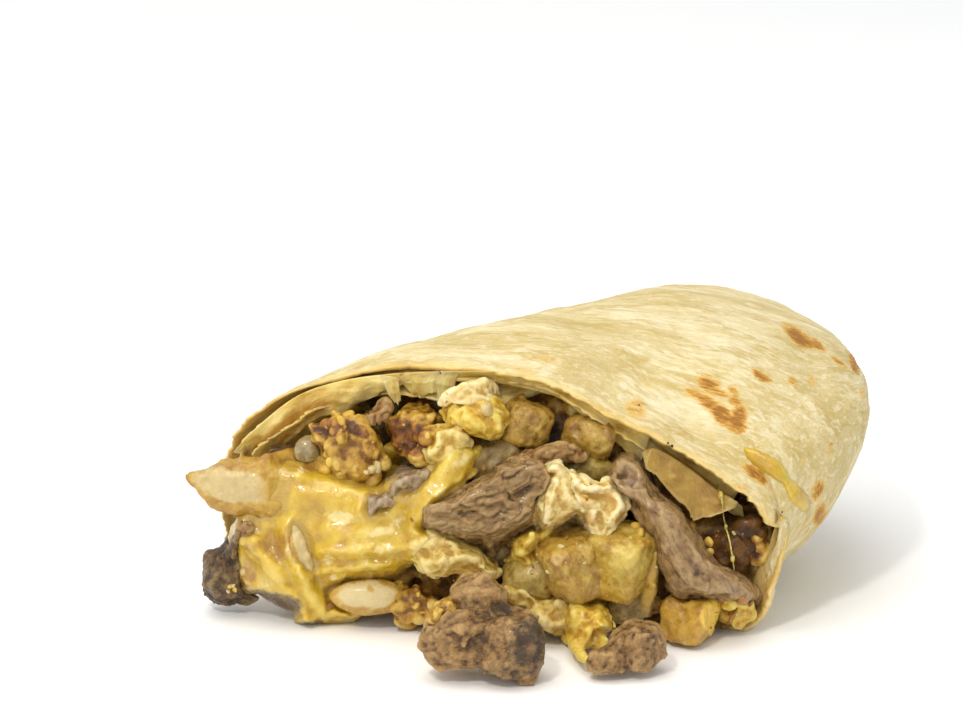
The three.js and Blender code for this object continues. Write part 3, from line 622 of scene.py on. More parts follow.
def inner_sheet_finish(look):
    """Damp underside of the sheet, soaked with fat and half clear."""
    f = Finish("damp_tortilla")
    roll = f.kept_place("roll")
    streaks = f.noise(2.2, 5, 0.6, f.stretch(roll, (1.0, 0.35, 0.5)), 0.6)
    patches = f.noise(6, 3, 0.5)
    colour = f.shades(patches, [(0.3, look.soaked), (0.48, look.inner), (0.62, look.lining)])
    colour = f.over(colour, look.lining, streaks, 0.48, 0.62, 0.7)
    fine = f.noise(0.8, 5, 0.65, f.stretch(roll, (1.0, 0.4, 0.5)), 0.5)
    colour = f.over(colour, look.pale, fine, 0.55, 0.7, 0.5)
    colour = f.over(colour, look.soaked, f.sum(f.kept("clear"), f.sway(streaks, 0.25)), 0, 1, 0.9)
    greasy = f.sum(f.kept("clear"), f.sway(f.noise(3.4, 4, 0.6), 0.6))
    colour = f.over(colour, (152, 114, 42), greasy, 0.7, 1.4, 0.75)
    toast = f.sum(f.kept("toast"), f.sum(f.sway(streaks, 0.25), f.sway(fine, 0.2)))
    colour = f.over(colour, look.golden, toast, 0.2, 0.6, 0.85)
    colour = f.over(colour, look.toast, toast, 0.5, 1.0, 0.9)
    bump = f.relief(streaks, 0.5)
    bump = f.relief(fine, 0.2, bump)
    rough = f.span(patches, 0.3, 0.7, 0.22, 0.5)
    return f.done(colour, rough, bump, glow=0.5, reach=2.0, radius=(1.0, 0.85, 0.5), coat=0.35, specular=0.5)


def steak_finish(name, dark, middle, light, wet):
    """Seared chopped beef: brown fibres, painted shade in the creases, wet with fat on top."""
    f = Finish(name)
    height = f.kept("height")
    grain = f.kept_place("grain")
    threads = f.noise(0.7, 6, 0.7, f.stretch(grain, (1.0, 1.0, 0.35)), 1.6)
    patches = f.noise(5.5, 4, 0.6)
    tone = f.sum(f.span(patches, 0.35, 0.65, -0.14, 0.14), f.sway(threads, 0.18))
    # Painted shade in the creases and painted light on the crests, from each corner's height.
    colour = f.shades(f.sum(tone, height), [(0.0, dark), (0.42, middle), (0.95, light)])
    colour = f.over(colour, (164, 112, 60), f.noise(2.6, 4, 0.6), 0.56, 0.66, 0.4)
    colour = f.over(colour, (214, 186, 134), f.noise(0.8, 3, 0.6), 0.64, 0.72, 0.5)
    # Dark crust at random, and painted shade on the front chunk's lower right where its shade marks lie.
    shade = f.kept("shade")
    mottled = f.sum(f.span(patches, 0.35, 0.65, -0.3, 0.3), f.sway(f.noise(1.8, 5, 0.7), 0.45))
    crusted = f.sum(shade, mottled)
    colour = f.over(colour, (60, 46, 32), crusted, 0.35, 1.1, 0.9)
    bump = f.relief(threads, 0.6)
    bump = f.relief(f.noise(0.5, 5, 0.75), 0.35, bump)
    rough = f.span(f.noise(1.2, 4, 0.6), 0.4, 0.6, 0.18, 0.6)
    return f.done(colour, rough, bump, glow=0.12, reach=0.8, radius=(1.0, 0.5, 0.3), coat=wet,
                  coat_roughness=0.1)


def potato_finish(name, deep, middle, pale, crust, cut, dry=0.0, wet=0.25):
    """Fried potato: waxy and half clear, golden where it met the pan and paler on a cut face."""
    f = Finish(name)
    height = f.kept("height")
    patches = f.noise(3.6, 6, 0.65, distortion=0.7)
    grain = f.noise(0.9, 5, 0.65)
    colour = f.shades(f.sum(patches, f.sway(grain, 0.06)), [(0.32, deep), (0.5, middle), (0.68, pale)])
    edge = f.sum(height, f.sway(f.noise(1.5, 6, 0.7), 0.4))
    colour = f.over(colour, crust, edge, 0.7, 1.1, 0.6)
    # Painted shade in the hollows.
    colour = f.blend(f.span(edge, 0.0, 0.35, 0.5, 0), colour, deep)
    colour = f.over(colour, cut, f.sum(f.kept("cut"), f.sway(patches, 0.15)), 0.35, 0.7, 0.9)
    colour = f.over(colour, (196, 158, 58), f.sum(f.kept("cheesy"), f.sway(grain, 0.1)), 0.2, 0.8, 0.85)
    specks = f.noise(0.8, 3, 0.6)
    colour = f.over(colour, crust, specks, 0.68, 0.74, 0.6)
    bump = f.relief(patches, 0.35)
    bump = f.relief(grain, 0.2, bump)
    bump = f.relief(f.noise(0.35, 3, 0.6), 0.06, bump)
    rough = f.span(f.noise(1.5, 4, 0.6), 0.35, 0.65, 0.16 + dry, 0.45 + dry)
    return f.done(colour, rough, bump, glow=0.4, reach=1.8, radius=(1.0, 0.7, 0.25), coat=wet,
                  specular=0.5 - dry)


def hash_finish():
    """Fried potato shreds: golden inside, amber to red-brown crust."""
    f = Finish("hash_brown_crust")
    height = f.kept("height")
    patches = f.noise(2.6, 6, 0.65, distortion=0.8)
    # Darker in the hollows between the shreds and lighter on the crests: painted shade and light.
    mixed = f.sum(height, f.sway(patches, 0.4))
    golden = f.shades(mixed, [(0.0, (120, 78, 18)), (0.25, (170, 124, 36)), (0.6, (198, 156, 56)),
                              (0.95, (216, 184, 92))])
    browned = f.shades(mixed, [(0.05, (72, 38, 6)), (0.4, (124, 74, 16)), (0.7, (158, 102, 28)),
                               (0.98, (188, 140, 54))])
    crusty = f.sum(f.kept("crust"), f.sway(f.noise(1.6, 5, 0.65), 0.3))
    colour = f.blend(f.span(crusty, 0.25, 0.6), golden, browned)
    bump = f.relief(f.noise(1.2, 5, 0.7), 0.4)
    bump = f.relief(f.noise(0.4, 4, 0.65), 0.15, bump)
    rough = f.span(f.noise(1.0, 4, 0.6), 0.35, 0.65, 0.16, 0.5)
    return f.done(colour, rough, bump, glow=0.2, reach=1.0, radius=(1.0, 0.5, 0.15), specular=0.6)


def egg_finish(name, deep, middle, pale, fleck):
    """Scrambled egg: soft curds, with painted shade deeper in the folds."""
    f = Finish(name)
    height = f.kept("height")
    patches = f.noise(2.6, 6, 0.65, distortion=0.8)
    grain = f.noise(0.8, 5, 0.7)
    # Painted shade deep in the folds and light on the crests, from each corner's height.
    mixed = f.sum(height, f.sway(patches, 0.35))
    colour = f.shades(f.sum(mixed, f.sway(grain, 0.15)), [(0.05, deep), (0.42, middle), (0.85, pale)])
    colour = f.over(colour, fleck, f.noise(1.4, 5, 0.6), 0.58, 0.68, 0.6)
    colour = f.over(colour, deep, f.noise(0.7, 4, 0.6), 0.66, 0.72, 0.3)
    yolk = f.sum(f.kept("yolk"), f.sway(patches, 0.3))
    colour = f.over(colour, (196, 148, 58), yolk, 0.2, 0.9, 0.8)
    bump = f.relief(grain, 0.25)
    bump = f.relief(f.noise(0.3, 3, 0.6), 0.06, bump)
    rough = f.span(f.noise(1.1, 4, 0.6), 0.35, 0.65, 0.22, 0.5)
    return f.done(colour, rough, bump, glow=0.35, reach=1.2, radius=(1.0, 0.75, 0.35), specular=0.5)


def cheese_finish(look):
    """Melted cheese: glossy, deep yellow, paler and clearer where it is stretched thin."""
    f = Finish("melted_cheese")
    height = f.kept("height")
    patches = f.noise(7, 4, 0.55, distortion=1.2)
    small = f.noise(1.6, 5, 0.65, distortion=0.6)
    # A little darker in the hollows and lighter on the crests: painted shade and light.
    colour = f.shades(f.sum(patches, f.span(height, 0, 1, -0.14, 0.14)),
                      [(0.3, look.cheese_deep), (0.5, look.cheese), (0.68, look.cheese_pale)])
    film = f.sum(f.kept("film"), f.sum(f.sway(small, 0.2), f.sway(patches, 0.2)))
    colour = f.over(colour, look.cheese_film, film, 0.25, 0.75, 0.85)
    # Browned crumbs at the stain marks, with painted shade: more of it in the hollows and along the cheese's
    # lower edge.
    stain_and_painted_shade = f.sum(f.kept("stain"), f.sum(f.sway(small, 0.3), f.span(height, 0, 1, 0.25, -0.25)))
    colour = f.over(colour, look.cheese_brown, stain_and_painted_shade, 0.3, 0.8, 0.8)
    # Pale patches that are mostly painted highlights on the wet cheese, with some pale cheese.
    white = f.sum(f.kept("cream"), f.sway(small, 0.5))
    colour = f.over(colour, (240, 222, 154), white, 0.35, 0.95, 0.8)
    colour = f.over(colour, look.cheese_brown, f.noise(1.0, 3, 0.6), 0.68, 0.74, 0.7)
    # Painted shade under the lower edge of the cheese.
    colour = f.over(colour, (80, 56, 20), f.sum(f.kept("shade"), f.sway(small, 0.25)), 0.2, 0.9, 0.92)
    colour = f.over(colour, (90, 52, 18), f.noise(0.55, 2, 0.5), 0.76, 0.79, 0.8)
    bump = f.relief(f.noise(3.0, 4, 0.55, distortion=0.8), 0.5)
    bump = f.relief(f.noise(0.9, 4, 0.6), 0.14, bump)
    rough = f.span(f.noise(2.0, 4, 0.6), 0.38, 0.62, 0.1, 0.34)
    return f.done(colour, rough, bump, glow=0.5, reach=2.2, radius=(1.0, 0.65, 0.15), coat=0.5,
                  coat_roughness=0.1, specular=0.6)


def mash_finish():
    """Mixed filling between the pieces: egg, cheese, crumbs and juices."""
    f = Finish("mixed_filling")
    height = f.kept("height")
    patches = f.noise(3.6, 5, 0.6, distortion=0.8)
    small = f.noise(1.4, 5, 0.65, distortion=0.4)
    mixed = f.sum(height, f.sway(patches, 0.4))
    # Darker in the hollows, lighter on the crests: painted shade and light.
    colour = f.shades(mixed, [(0.0, (88, 54, 16)), (0.3, (152, 104, 36)), (0.6, (196, 152, 66)),
                              (0.95, (228, 196, 116))])
    wet = f.sum(f.kept("yellow"), f.sway(small, 0.25))
    colour = f.over(colour, (226, 184, 60), wet, 0.25, 0.6, 0.9)
    white = f.sum(f.kept("cream"), f.sway(small, 0.25))
    colour = f.over(colour, (234, 214, 154), white, 0.3, 0.6, 0.9)
    colour = f.over(colour, (232, 206, 124), small, 0.6, 0.7, 0.6)
    colour = f.blend(f.span(small, 0.3, 0.4, 0.6, 0), colour, (96, 58, 20))
    # Painted shade in the gaps and deep in the mouth.
    colour = f.over(colour, (44, 23, 4), f.kept("dark"), 0.1, 1.0, 0.88)
    bump = f.relief(small, 0.45)
    bump = f.relief(f.noise(0.5, 3, 0.65), 0.2, bump)
    rough = f.span(f.noise(1.3, 3, 0.5), 0.38, 0.62, 0.14, 0.45)
    return f.done(colour, rough, bump, glow=0.25, reach=1.5, radius=(1.0, 0.6, 0.2), coat=0.1, specular=0.3)


# ---- The wrap ----

WRAP_HALF_WIDTH = 40.0
WRAP_TOP = 53.5
WRAP_TOP_AT_NOSE = 51.5
WRAP_SAG = 3.0
BELLY_AT_CUT = 16.0
BELLY_AT_NOSE = 37.5
BELLY_TILT = 4.4
WRAP_AXIS_ANGLE = math.radians(37)
CUT_SLOPE = 0.94
SHOULDER = 46.0
NOSE_LENGTH = 40.5
NOSE_SKEW = 9.0
NOSE_CORNER = 2.05
CORNER_TOP_LEFT = 2.2
CORNER_TOP_RIGHT = 1.36
CORNER_BOTTOM_LEFT = 3.4
CORNER_BOTTOM_RIGHT = 3.2
CORNER_TOP_AT_NOSE = 2.1
CORNER_BOTTOM_AT_NOSE = 1.57
CORNER_FADE = 12.0
SHEET = 1.7
EDGE_SHARE = 0.4
LAYER_GAP = 0.9
SEAM_ANGLE = math.radians(198)
SEAM_STEP = 0.8 * SHEET
LIP_DROOP = 4.0
LIP_REACH = 9.0
LIP_REACH_RIGHT = 15.0
RIM_RAGGED = 0.7
RIM_WAVES = 4
WRINKLE = 0.5
WRINKLE_LENGTH = 13.0
WRINKLES_ROUND = 3
INNER_SHARE = 0.8
INNER_MERGE_START = 0.45
INNER_MERGE_INSET = 0.4 * SHEET
CURL_START = 0.72
FLUTTER = 0.5
OUTER_STEPS_ALONG = (105, 84)
LINING_STEPS_ALONG = (26, 9)
INNER_STEPS_ACROSS = 220
INNER_STEPS_ALONG = 30
FLAP_STEPS_ACROSS = 110
FLAP_STEPS_DOWN = 28
FRONT_SETBACK = 9.0
# Where the edge stands higher or lower: angle, spread and height, fading away from the cut.
RIM_LIFTS = [(52, 17, 1.7), (14, 8, -2.6)]
RIM_LIFT_REACH = 12.0
BODY_SHARE = 7 / 12
INNER_TURNS = [
    dict(start=206, end=22, inset=SHEET + LAYER_GAP, curl=7, setback=1.6, depth=0.8, ragged=1.6, seed=21),
    dict(start=186, end=92, inset=2 * (SHEET + LAYER_GAP), curl=2, setback=3.2, depth=0.7, ragged=2.4,
         seed=31),
]


def section_at(t):
    """Half width, belly height, reach above and below it, and scale of the wrap at distance t."""
    q = np.clip((t - SHOULDER) / NOSE_LENGTH, 0, 1)
    scale = np.maximum(1 - q**NOSE_CORNER, 0) ** (1 / NOSE_CORNER)
    progress = smoothstep(t, 0, SHOULDER + NOSE_LENGTH)
    belly = lerp(BELLY_AT_CUT, BELLY_AT_NOSE, progress)
    top = lerp(WRAP_TOP, WRAP_TOP_AT_NOSE, progress)
    return WRAP_HALF_WIDTH * scale, belly, (top - belly) * scale, (belly + WRAP_SAG) * scale, scale


def corner_at(phi, t):
    """How boxy the section is: slack on the top right, fuller on the top left, flat below."""
    top = lerp(CORNER_TOP_LEFT, CORNER_TOP_RIGHT, smoothstep(np.cos(phi), -0.3, 0.5))
    bottom = lerp(CORNER_BOTTOM_LEFT, CORNER_BOTTOM_RIGHT, smoothstep(t, -SHOULDER / 2, SHOULDER))
    is_open = lerp(bottom, top, smoothstep(np.sin(phi), -0.4, 0.3))
    closed = lerp(CORNER_BOTTOM_AT_NOSE, CORNER_TOP_AT_NOSE, smoothstep(np.sin(phi), -0.5, 0.2))
    return lerp(is_open, closed, smoothstep(t, SHOULDER - CORNER_FADE, SHOULDER + CORNER_FADE))


def wrap_points(step, phi, inset, setback=0.0, frayed=0.0):
    """Points of the wrap and their place on the rolled sheet.

    step runs from 0 at the cut to 1 at the tip of the folded end, phi from 0 on the right by
    90 degrees on top, and inset goes in from the outer face. setback moves the cut edge back.
    """
    rough_t = lerp(CUT_SLOPE * WRAP_HALF_WIDTH * np.cos(phi), SHOULDER + CORNER_FADE,
                   np.minimum(step / BODY_SHARE, 1))
    corner = corner_at(phi, rough_t)
    cross = signed_power(np.cos(phi), 2 / corner)
    rise = signed_power(np.sin(phi), 2 / corner)
    ragged = RIM_RAGGED * (noise(phi * RIM_WAVES, 0, 0, 5) + 0.5 * noise(3 * phi * RIM_WAVES, 0, 0, 6))
    rim = CUT_SLOPE * WRAP_HALF_WIDTH * cross + ragged
    room = np.clip((SHOULDER - NOSE_SKEW * cross - rim) / FRONT_SETBACK, 0, 1)
    cut = rim + setback * room + frayed
    turn = (step - BODY_SHARE) / (1 - BODY_SHARE) * (math.pi / 2)
    t = np.where(
        step < BODY_SHARE,
        lerp(cut, SHOULDER, step / BODY_SHARE),
        SHOULDER + (NOSE_LENGTH - inset) * np.sin(np.maximum(turn, 0)),
    )
    half_width, belly, above, below, scale = section_at(t)
    turned = (phi - SEAM_ANGLE) / (2 * math.pi)
    spiral = SEAM_STEP * (turned - np.floor(turned) - 0.5) * scale
    wrinkle = WRINKLE * noise(t / WRINKLE_LENGTH, phi * WRINKLES_ROUND, 0, 11) * scale
    out = spiral + wrinkle - inset
    turned_phi = np.degrees(np.arctan2(np.sin(phi), np.cos(phi)))
    lift = sum(up * np.exp(-(((turned_phi - angle) / width) ** 2)) for angle, width, up in RIM_LIFTS)
    lift = lift * np.exp(-np.maximum(t - cut, 0) / RIM_LIFT_REACH)
    lip_reach = lerp(LIP_REACH, LIP_REACH_RIGHT, smoothstep(cross, -0.1, 0.5))
    droop = LIP_DROOP * smoothstep(rise, 0.2, 0.9) * np.exp(-np.maximum(t - cut, 0) / lip_reach)
    reach = np.where(rise > 0, above, below)
    s = np.maximum(half_width + out, 0) * cross
    z = belly - BELLY_TILT * cross * scale + np.maximum(reach + out, 0) * rise - droop + lift
    skew = NOSE_SKEW * (s / WRAP_HALF_WIDTH) * smoothstep(step, 0, BODY_SHARE)
    ahead = t - skew
    c, d = math.cos(WRAP_AXIS_ANGLE), math.sin(WRAP_AXIS_ANGLE)
    height = np.maximum(z, np.maximum(inset, 0))
    points = np.stack([ahead * c + s * d, ahead * d - s * c, height], -1) + TO_FRAME
    rolled = np.stack([t - rim, phi * 30.0, 0 * t + inset], -1) / METRE
    return points, rolled


class Spot:
    """A toasted spot of the sheet, placed and sized in the view."""

    def __init__(self, x, y, long, short, lean, strength):
        self.x, self.y, self.long, self.short = x, y, long, short
        self.lean, self.strength = math.radians(lean), strength

    def cover(self, seen):
        """How much the spot covers each view position, from 0 to its strength."""
        dx, dy = seen[:, 0] - self.x, seen[:, 1] - self.y
        along = (dx * math.cos(self.lean) + dy * math.sin(self.lean)) / self.long
        across = (-dx * math.sin(self.lean) + dy * math.cos(self.lean)) / self.short
        return self.strength * (1 - smoothstep(np.hypot(along, across), 0.35, 1.35))


# x, y, half length, half width, lean of the long side below the horizontal, strength
SPOTS = [
    (709, 383, 14, 9, 12, 1.05), (718, 393, 12, 5, 5, 0.75), (694, 395, 11, 6, 35, 1.0),
    (708, 404, 15, 7, 38, 1.25), (722, 414, 16, 9, 38, 1.3), (735, 423, 12, 9, 38, 1.35),
    (739, 413, 9, 9, 60, 1.1), (735, 402, 8, 5, 30, 1.05), (733, 390, 7, 4.5, 40, 0.9),
    (742, 489, 4, 2, 10, 0.9), (761, 375, 12, 5, 35, 1.25), (792, 381, 6, 5, 60, 0.65),
    (811, 380, 8, 4, 70, 0.55), (636, 409, 13, 9, 30, 0.7), (640, 404, 6, 4, 30, 0.6),
    (757, 474, 15, 7, 45, 1.15), (750, 468, 10, 5, 45, 0.7), (817, 491, 14, 6, -70, 1.1),
    (820, 515, 12, 6, -75, 1.2), (800, 337, 22, 7, 33, 1.4), (818, 345, 12, 5, 35, 1.2),
    (839, 362, 9, 4, 35, 1.1), (855, 363, 12, 5, 75, 1.2), (522, 372, 18, 5, 12, 0.4),
    (545, 360, 20, 4, 8, 0.35), (648, 383, 6, 4, 20, 0.45), (803, 462, 5, 3, 70, 0.5),
    (712, 433, 6, 4, 20, 0.3), (861, 392, 8, 4, 80, 0.4), (829, 450, 10, 3, -80, 0.4),
]
HIDDEN_SPOTS = 46
HIDDEN_SPOT_SEED = 12


def toasted(points, outward):
    """Toasting at each point of the outer sheet."""
    seen = view_place(points)
    towards = outward @ CAMERA_BACK
    shown = smoothstep(towards, -0.02, 0.05)
    total = np.zeros(len(points))
    wander = warped(points, 5.0, 1.6, 3) - points
    seen = seen + wander[:, :2] * 2.2
    for spot in SPOTS:
        total = np.maximum(total, Spot(*spot).cover(seen) * shown)
    chance = np.random.default_rng(HIDDEN_SPOT_SEED)
    centres = points[chance.integers(0, len(points), HIDDEN_SPOTS)]
    for centre in centres:
        size = chance.uniform(2.0, 5.5)
        strength = chance.uniform(0.5, 1.35)
        away = np.linalg.norm((points + wander - centre) * [1, 1, 1.3], axis=1) / size
        unseen = 1 - smoothstep(towards, -0.12, 0.0)
        total = np.maximum(total, strength * (1 - smoothstep(away, 0.35, 1.3)) * unseen)
    return total


def outer_sheet(look):
    """The outer turn of the tortilla with its folded end."""
    sides = look.rounds
    phi = SEAM_ANGLE + (np.arange(sides) + 0.5) / sides * 2 * math.pi
    steps_out, steps_in = [
        np.concatenate([
            BODY_SHARE * np.linspace(0, 1, body)[:-1] ** power,
            lerp(BODY_SHARE, 1.0, np.linspace(0, 1, nose))[:-1],
        ])
        for (body, nose), power in ((OUTER_STEPS_ALONG, 1.15), (LINING_STEPS_ALONG, 1.4))
    ]
    fray = 0.35 * noise(phi * 26, 0, 0, 8) + 0.3 * noise(phi * 61, 0, 0, 9)
    fray = fray + 0.15 * noise(phi * 140, 0, 0, 10)

    def rows(steps, inset):
        grid_step, grid_phi = np.meshgrid(steps, phi, indexing="ij")
        thick = lerp(EDGE_SHARE, 1.0, smoothstep(grid_step, 0, 0.06)) * inset
        return wrap_points(grid_step, grid_phi, thick, 0.0, np.broadcast_to(fray, grid_phi.shape))

    outer, outer_roll = rows(steps_out[::-1], 0.0)
    inner, inner_roll = rows(steps_in, SHEET)
    tip_out, roll_out = wrap_points(np.array(0.99999), np.array(0.0), 0.0)
    tip_in, roll_in = wrap_points(np.array(0.99999), np.array(0.0), SHEET)
    points, quads = capped_rows(np.concatenate([outer, inner]), tip_out, tip_in)
    rolled = np.concatenate([[roll_out], outer_roll.reshape(-1, 3), inner_roll.reshape(-1, 3), [roll_in]])
    quads = outward_quads(points, quads)
    outward = facing(points, quads)
    edge = np.exp(-np.abs(rolled[:, 0]) * METRE / 1.6)
    swell = 0.7 * layers(points, 11.0, 2, 61) + 0.35 * layers(points, 5.0, 3, 63)
    swell += 0.14 * layers(rolled * METRE * [1, 0.4, 1], 1.6, 3, 62)
    points = above_table(points + outward * (swell * (1 - 0.6 * edge))[:, None])
    toast = toasted(points, outward)
    inside = (rolled[:, 2] > SHEET / METRE * 0.2).astype(float)
    values = {"roll": rolled, "toast": toast * (1 - inside), "soaked": inside * 0.75, "edge": edge}
    return points, quads, values


def outward_quads(points, quads):
    """The faces of a closed mesh, all turned the other way if they point inwards."""
    a, b, c, d = [points[quads[:, k]] for k in range(4)]
    volume = (a * np.cross(b, c)).sum() + (a * np.cross(c, d)).sum()
    return quads[:, ::-1] if volume < 0 else quads


def slab_quads(rows, columns):
    """Faces of a closed slab between a front grid of points and a back one after it."""
    index = np.arange(rows * columns).reshape(rows, columns)
    size = index.size
    front = np.stack([index[:-1, :-1], index[:-1, 1:], index[1:, 1:], index[1:, :-1]], -1).reshape(-1, 4)
    rims = []
    for line in (index[0], index[-1][::-1], index[::-1, 0], index[:, -1]):
        rims.append(np.stack([line[1:], line[:-1], line[:-1] + size, line[1:] + size], 1))
    return np.vstack([front, front[:, ::-1] + size, *rims])


def inner_sheet(turn):
    """One of the turns that show inside the mouth."""
    across, along = INNER_STEPS_ACROSS, INNER_STEPS_ALONG
    u, v = np.meshgrid(np.linspace(0, 1, across + 1), np.linspace(0, 1, along + 1) ** 1.5)
    merge = smoothstep(v, INNER_MERGE_START, 1)
    level = lerp(turn["inset"] + turn["curl"] * smoothstep(u, CURL_START, 1), INNER_MERGE_INSET, merge)
    flutter = FLUTTER * noise(u * 7, v * 3, 0, turn["seed"] + 1) * (1 - merge)
    back = turn["setback"] + turn["ragged"] * noise(u * 9, 0.5, 0, turn["seed"]) * (1 - v)
    fray = (0.5 * noise(u * 60, 0.0, 0, 18) + 0.4 * noise(u * 130, 0.0, 0, 19)) * (1 - v)
    phi = np.radians(lerp(turn["start"], turn["end"], u))
    faces = []
    for under in (0.0, SHEET * INNER_SHARE):
        thin = lerp(0.35, 1.0, smoothstep(v, 0, 0.2))
        inset = level + flutter + under * thin
        faces.append(wrap_points(v * turn["depth"] * BODY_SHARE, phi, inset, back, fray))
    points = np.concatenate([f[0].reshape(-1, 3) for f in faces])
    rolled = np.concatenate([f[1].reshape(-1, 3) for f in faces])
    quads = outward_quads(points, slab_quads(along + 1, across + 1))
    outward = facing(points, quads)
    swell = 0.3 * layers(points, 4.0, 3, turn["seed"] + 4) * np.concatenate([(1 - merge).ravel()] * 2)
    points = points + outward * swell[:, None]
    return points, quads, {"roll": rolled, "toast": np.zeros(len(points))}


# Loose flaps of the inner turns. Each hangs between two lines of view positions at distances
# back from the cut's middle, with its thickness, ruffle and toasting along the lower edge.
FLAPS = {
    "tortilla_lining_left": dict(
        top=[(233, 452), (258, 426), (297, 396), (340, 381), (388, 374), (440, 371)],
        bottom=[(262, 459), (286, 447), (309, 424), (334, 415), (362, 402), (400, 386)],
        back=(7.5, 0.5), under=(10.0, 4.5), thick=0.8, ruffle=1.2, toast=1.9, seed=71,
    ),
    "tortilla_flap_right": dict(
        top=[(642, 452), (657, 449), (689, 468), (713, 487), (738, 502)],
        bottom=[(646, 470), (657, 478), (684, 508), (700, 519), (735, 508)],
        back=(-3.0, -5.5), under=(-5.5, -6.5), thick=0.7, ruffle=1.3, toast=0.0, clear=1.0, seed=72,
    ),
    "tortilla_lining_right": dict(
        top=[(625, 424), (660, 446), (690, 466), (718, 487), (742, 506)],
        bottom=[(628, 458), (662, 474), (694, 494), (722, 508), (745, 522)],
        back=(0.5, -2.5), under=(1.5, -2.0), thick=0.7, ruffle=0.8, toast=0.0, clear=0.9, seed=78,
    ),
    "tortilla_ruffle_one": dict(
        top=[(380, 375), (388, 376), (398, 377)],
        bottom=[(390, 398), (396, 404), (401, 400)], back=(2.0, 1.0), under=(1.0, 3.0),
        thick=0.6, ruffle=1.2, toast=0.0, seed=73,
    ),
    "tortilla_ruffle_two": dict(
        top=[(399, 374), (415, 372), (440, 372)],
        bottom=[(404, 386), (416, 396), (440, 391)], back=(1.5, 1.5), under=(4.0, 3.0),
        thick=0.6, ruffle=1.4, toast=0.0, seed=74,
    ),
    "tortilla_ruffle_three": dict(
        top=[(434, 374), (444, 374), (458, 374)],
        bottom=[(438, 400), (444, 408), (452, 396)], back=(2.0, 1.0), under=(2.0, 3.0),
        thick=0.6, ruffle=1.0, toast=0.3, seed=75,
    ),
    "tortilla_lining_top": dict(
        top=[(440, 371), (500, 372), (560, 384), (610, 408), (650, 436)],
        bottom=[(446, 381), (500, 384), (556, 398), (602, 430), (640, 464)],
        back=(0.5, -2.0), under=(4.0, 0.0), thick=0.8, ruffle=1.0, toast=0.0, clear=0.4, seed=76,
    ),
}


def flap(top, bottom, back, under, thick, ruffle, toast, seed, clear=0.0):
    """A thin torn sheet hanging between two lines."""
    across, down = FLAP_STEPS_ACROSS, FLAP_STEPS_DOWN
    u = np.linspace(0, 1, across)
    high, low = [
        np.stack([at(*spot, d) for spot, d in zip(flat_curve(path, across), np.linspace(*deep, across))])
        for path, deep in ((top, back), (bottom, under))
    ]
    fall = np.linspace(0, 1, down)[:, None, None]
    torn = 1 + 0.06 * noise(u * 9, 0, 0, seed) + 0.04 * noise(u * 31, 0, 0, seed + 1)
    grid = lerp(high[None], low[None], fall * torn[None, :, None])
    flat = grid.reshape(-1, 3)
    wave = layers(flat * [1, 1, 0.4], 3.5, 3, seed + 2).reshape(down, across)
    wave = wave + 0.35 * (1 - 0.7 * clear) * ridges(flat / 2.4, seed + 5).reshape(down, across)
    grid = grid + CAMERA_BACK * (ruffle * wave * smoothstep(fall[:, :, 0], 0.0, 0.4))[..., None]
    share = np.minimum(np.minimum(u, 1 - u) * 8, 1)[None, :] * np.minimum((1 - fall[:, :, 0]) * 6 + 0.25, 1)
    behind = grid - CAMERA_BACK * (thick * share)[..., None]
    points = np.concatenate([grid.reshape(-1, 3), behind.reshape(-1, 3)])
    quads = outward_quads(points, slab_quads(down, across))
    browned = toast * np.exp(-((fall[:, :, 0] - 0.66) / 0.26) ** 2) * (1 - smoothstep(u, 0.35, 0.7))[None, :]
    size = grid.shape[:2]
    rolled = [np.broadcast_to(fall[:, :, 0] * 10, size), np.broadcast_to(u * 60, size), np.zeros(size)]
    values = {
        "roll": np.stack(rolled, -1).reshape(-1, 3) / METRE,
        "toast": browned.ravel(),
        "clear": (clear * lerp(0.3, 1.0, share)).ravel(),
    }
    return points, quads, {key: np.concatenate([numbers] * 2) for key, numbers in values.items()}


# ---- Relief of the food ----


def ridges(place, seed):
    """Sharp crests wandering through space, from -1 to 1."""
    return 1 - 2 * np.abs(noise(place[:, 0], place[:, 1], place[:, 2], seed))


def steak_relief(points, seed, grain):
    """Bunches of fibres with sharp creases between them, over slow lumps."""
    along = points @ grain
    sideways = points - along[:, None] * grain
    bent = warped(points, 4.0, 1.7, seed) - points
    place = sideways + (along / 3.2)[:, None] * grain + bent
    creases = smoothstep(np.abs(noise(*(place / 1.5).T, seed + 6)), 0.0, 0.6)
    threads = smoothstep(np.abs(noise(*(place / 0.8).T, seed + 4)), 0.0, 0.6)
    deep = smoothstep(layers(points, 4.0, 2, seed + 9), -0.5, 0.3)
    creased = lerp(0.12, 0.36, deep) * (creases - 0.7)
    return 0.5 * layers(points, 5.5, 2, seed + 7) + creased + 0.24 * (threads - 0.6)


def meat_relief(points, seed, grain):
    """Torn meat: knobs and dents with faint fibres."""
    along = points @ grain
    place = points - (along * 0.65)[:, None] * grain + warped(points, 3.0, 1.0, seed) - points
    threads = smoothstep(np.abs(noise(*(place / 0.9).T, seed + 4)), 0.0, 0.6)
    return 0.75 * layers(points, 3.6, 3, seed + 7, 0.55) + 0.2 * (threads - 0.6)


def chunk_relief(points, seed, grain):
    """Grainy skin over soft lumps."""
    return 0.8 * layers(points, 4.5, 2, seed + 4) + 0.42 * layers(points, 1.3, 3, seed + 5, 0.7)


def potato_relief(points, seed, grain):
    """Soft faces, a few dents and a fine fried skin."""
    dents = np.minimum(layers(points, 2.6, 2, seed + 3), 0.1)
    skin = 0.32 * layers(points, 1.3, 3, seed + 2, 0.65)
    return 0.8 * layers(points, 4.0, 2, seed + 1) + 0.7 * dents + skin


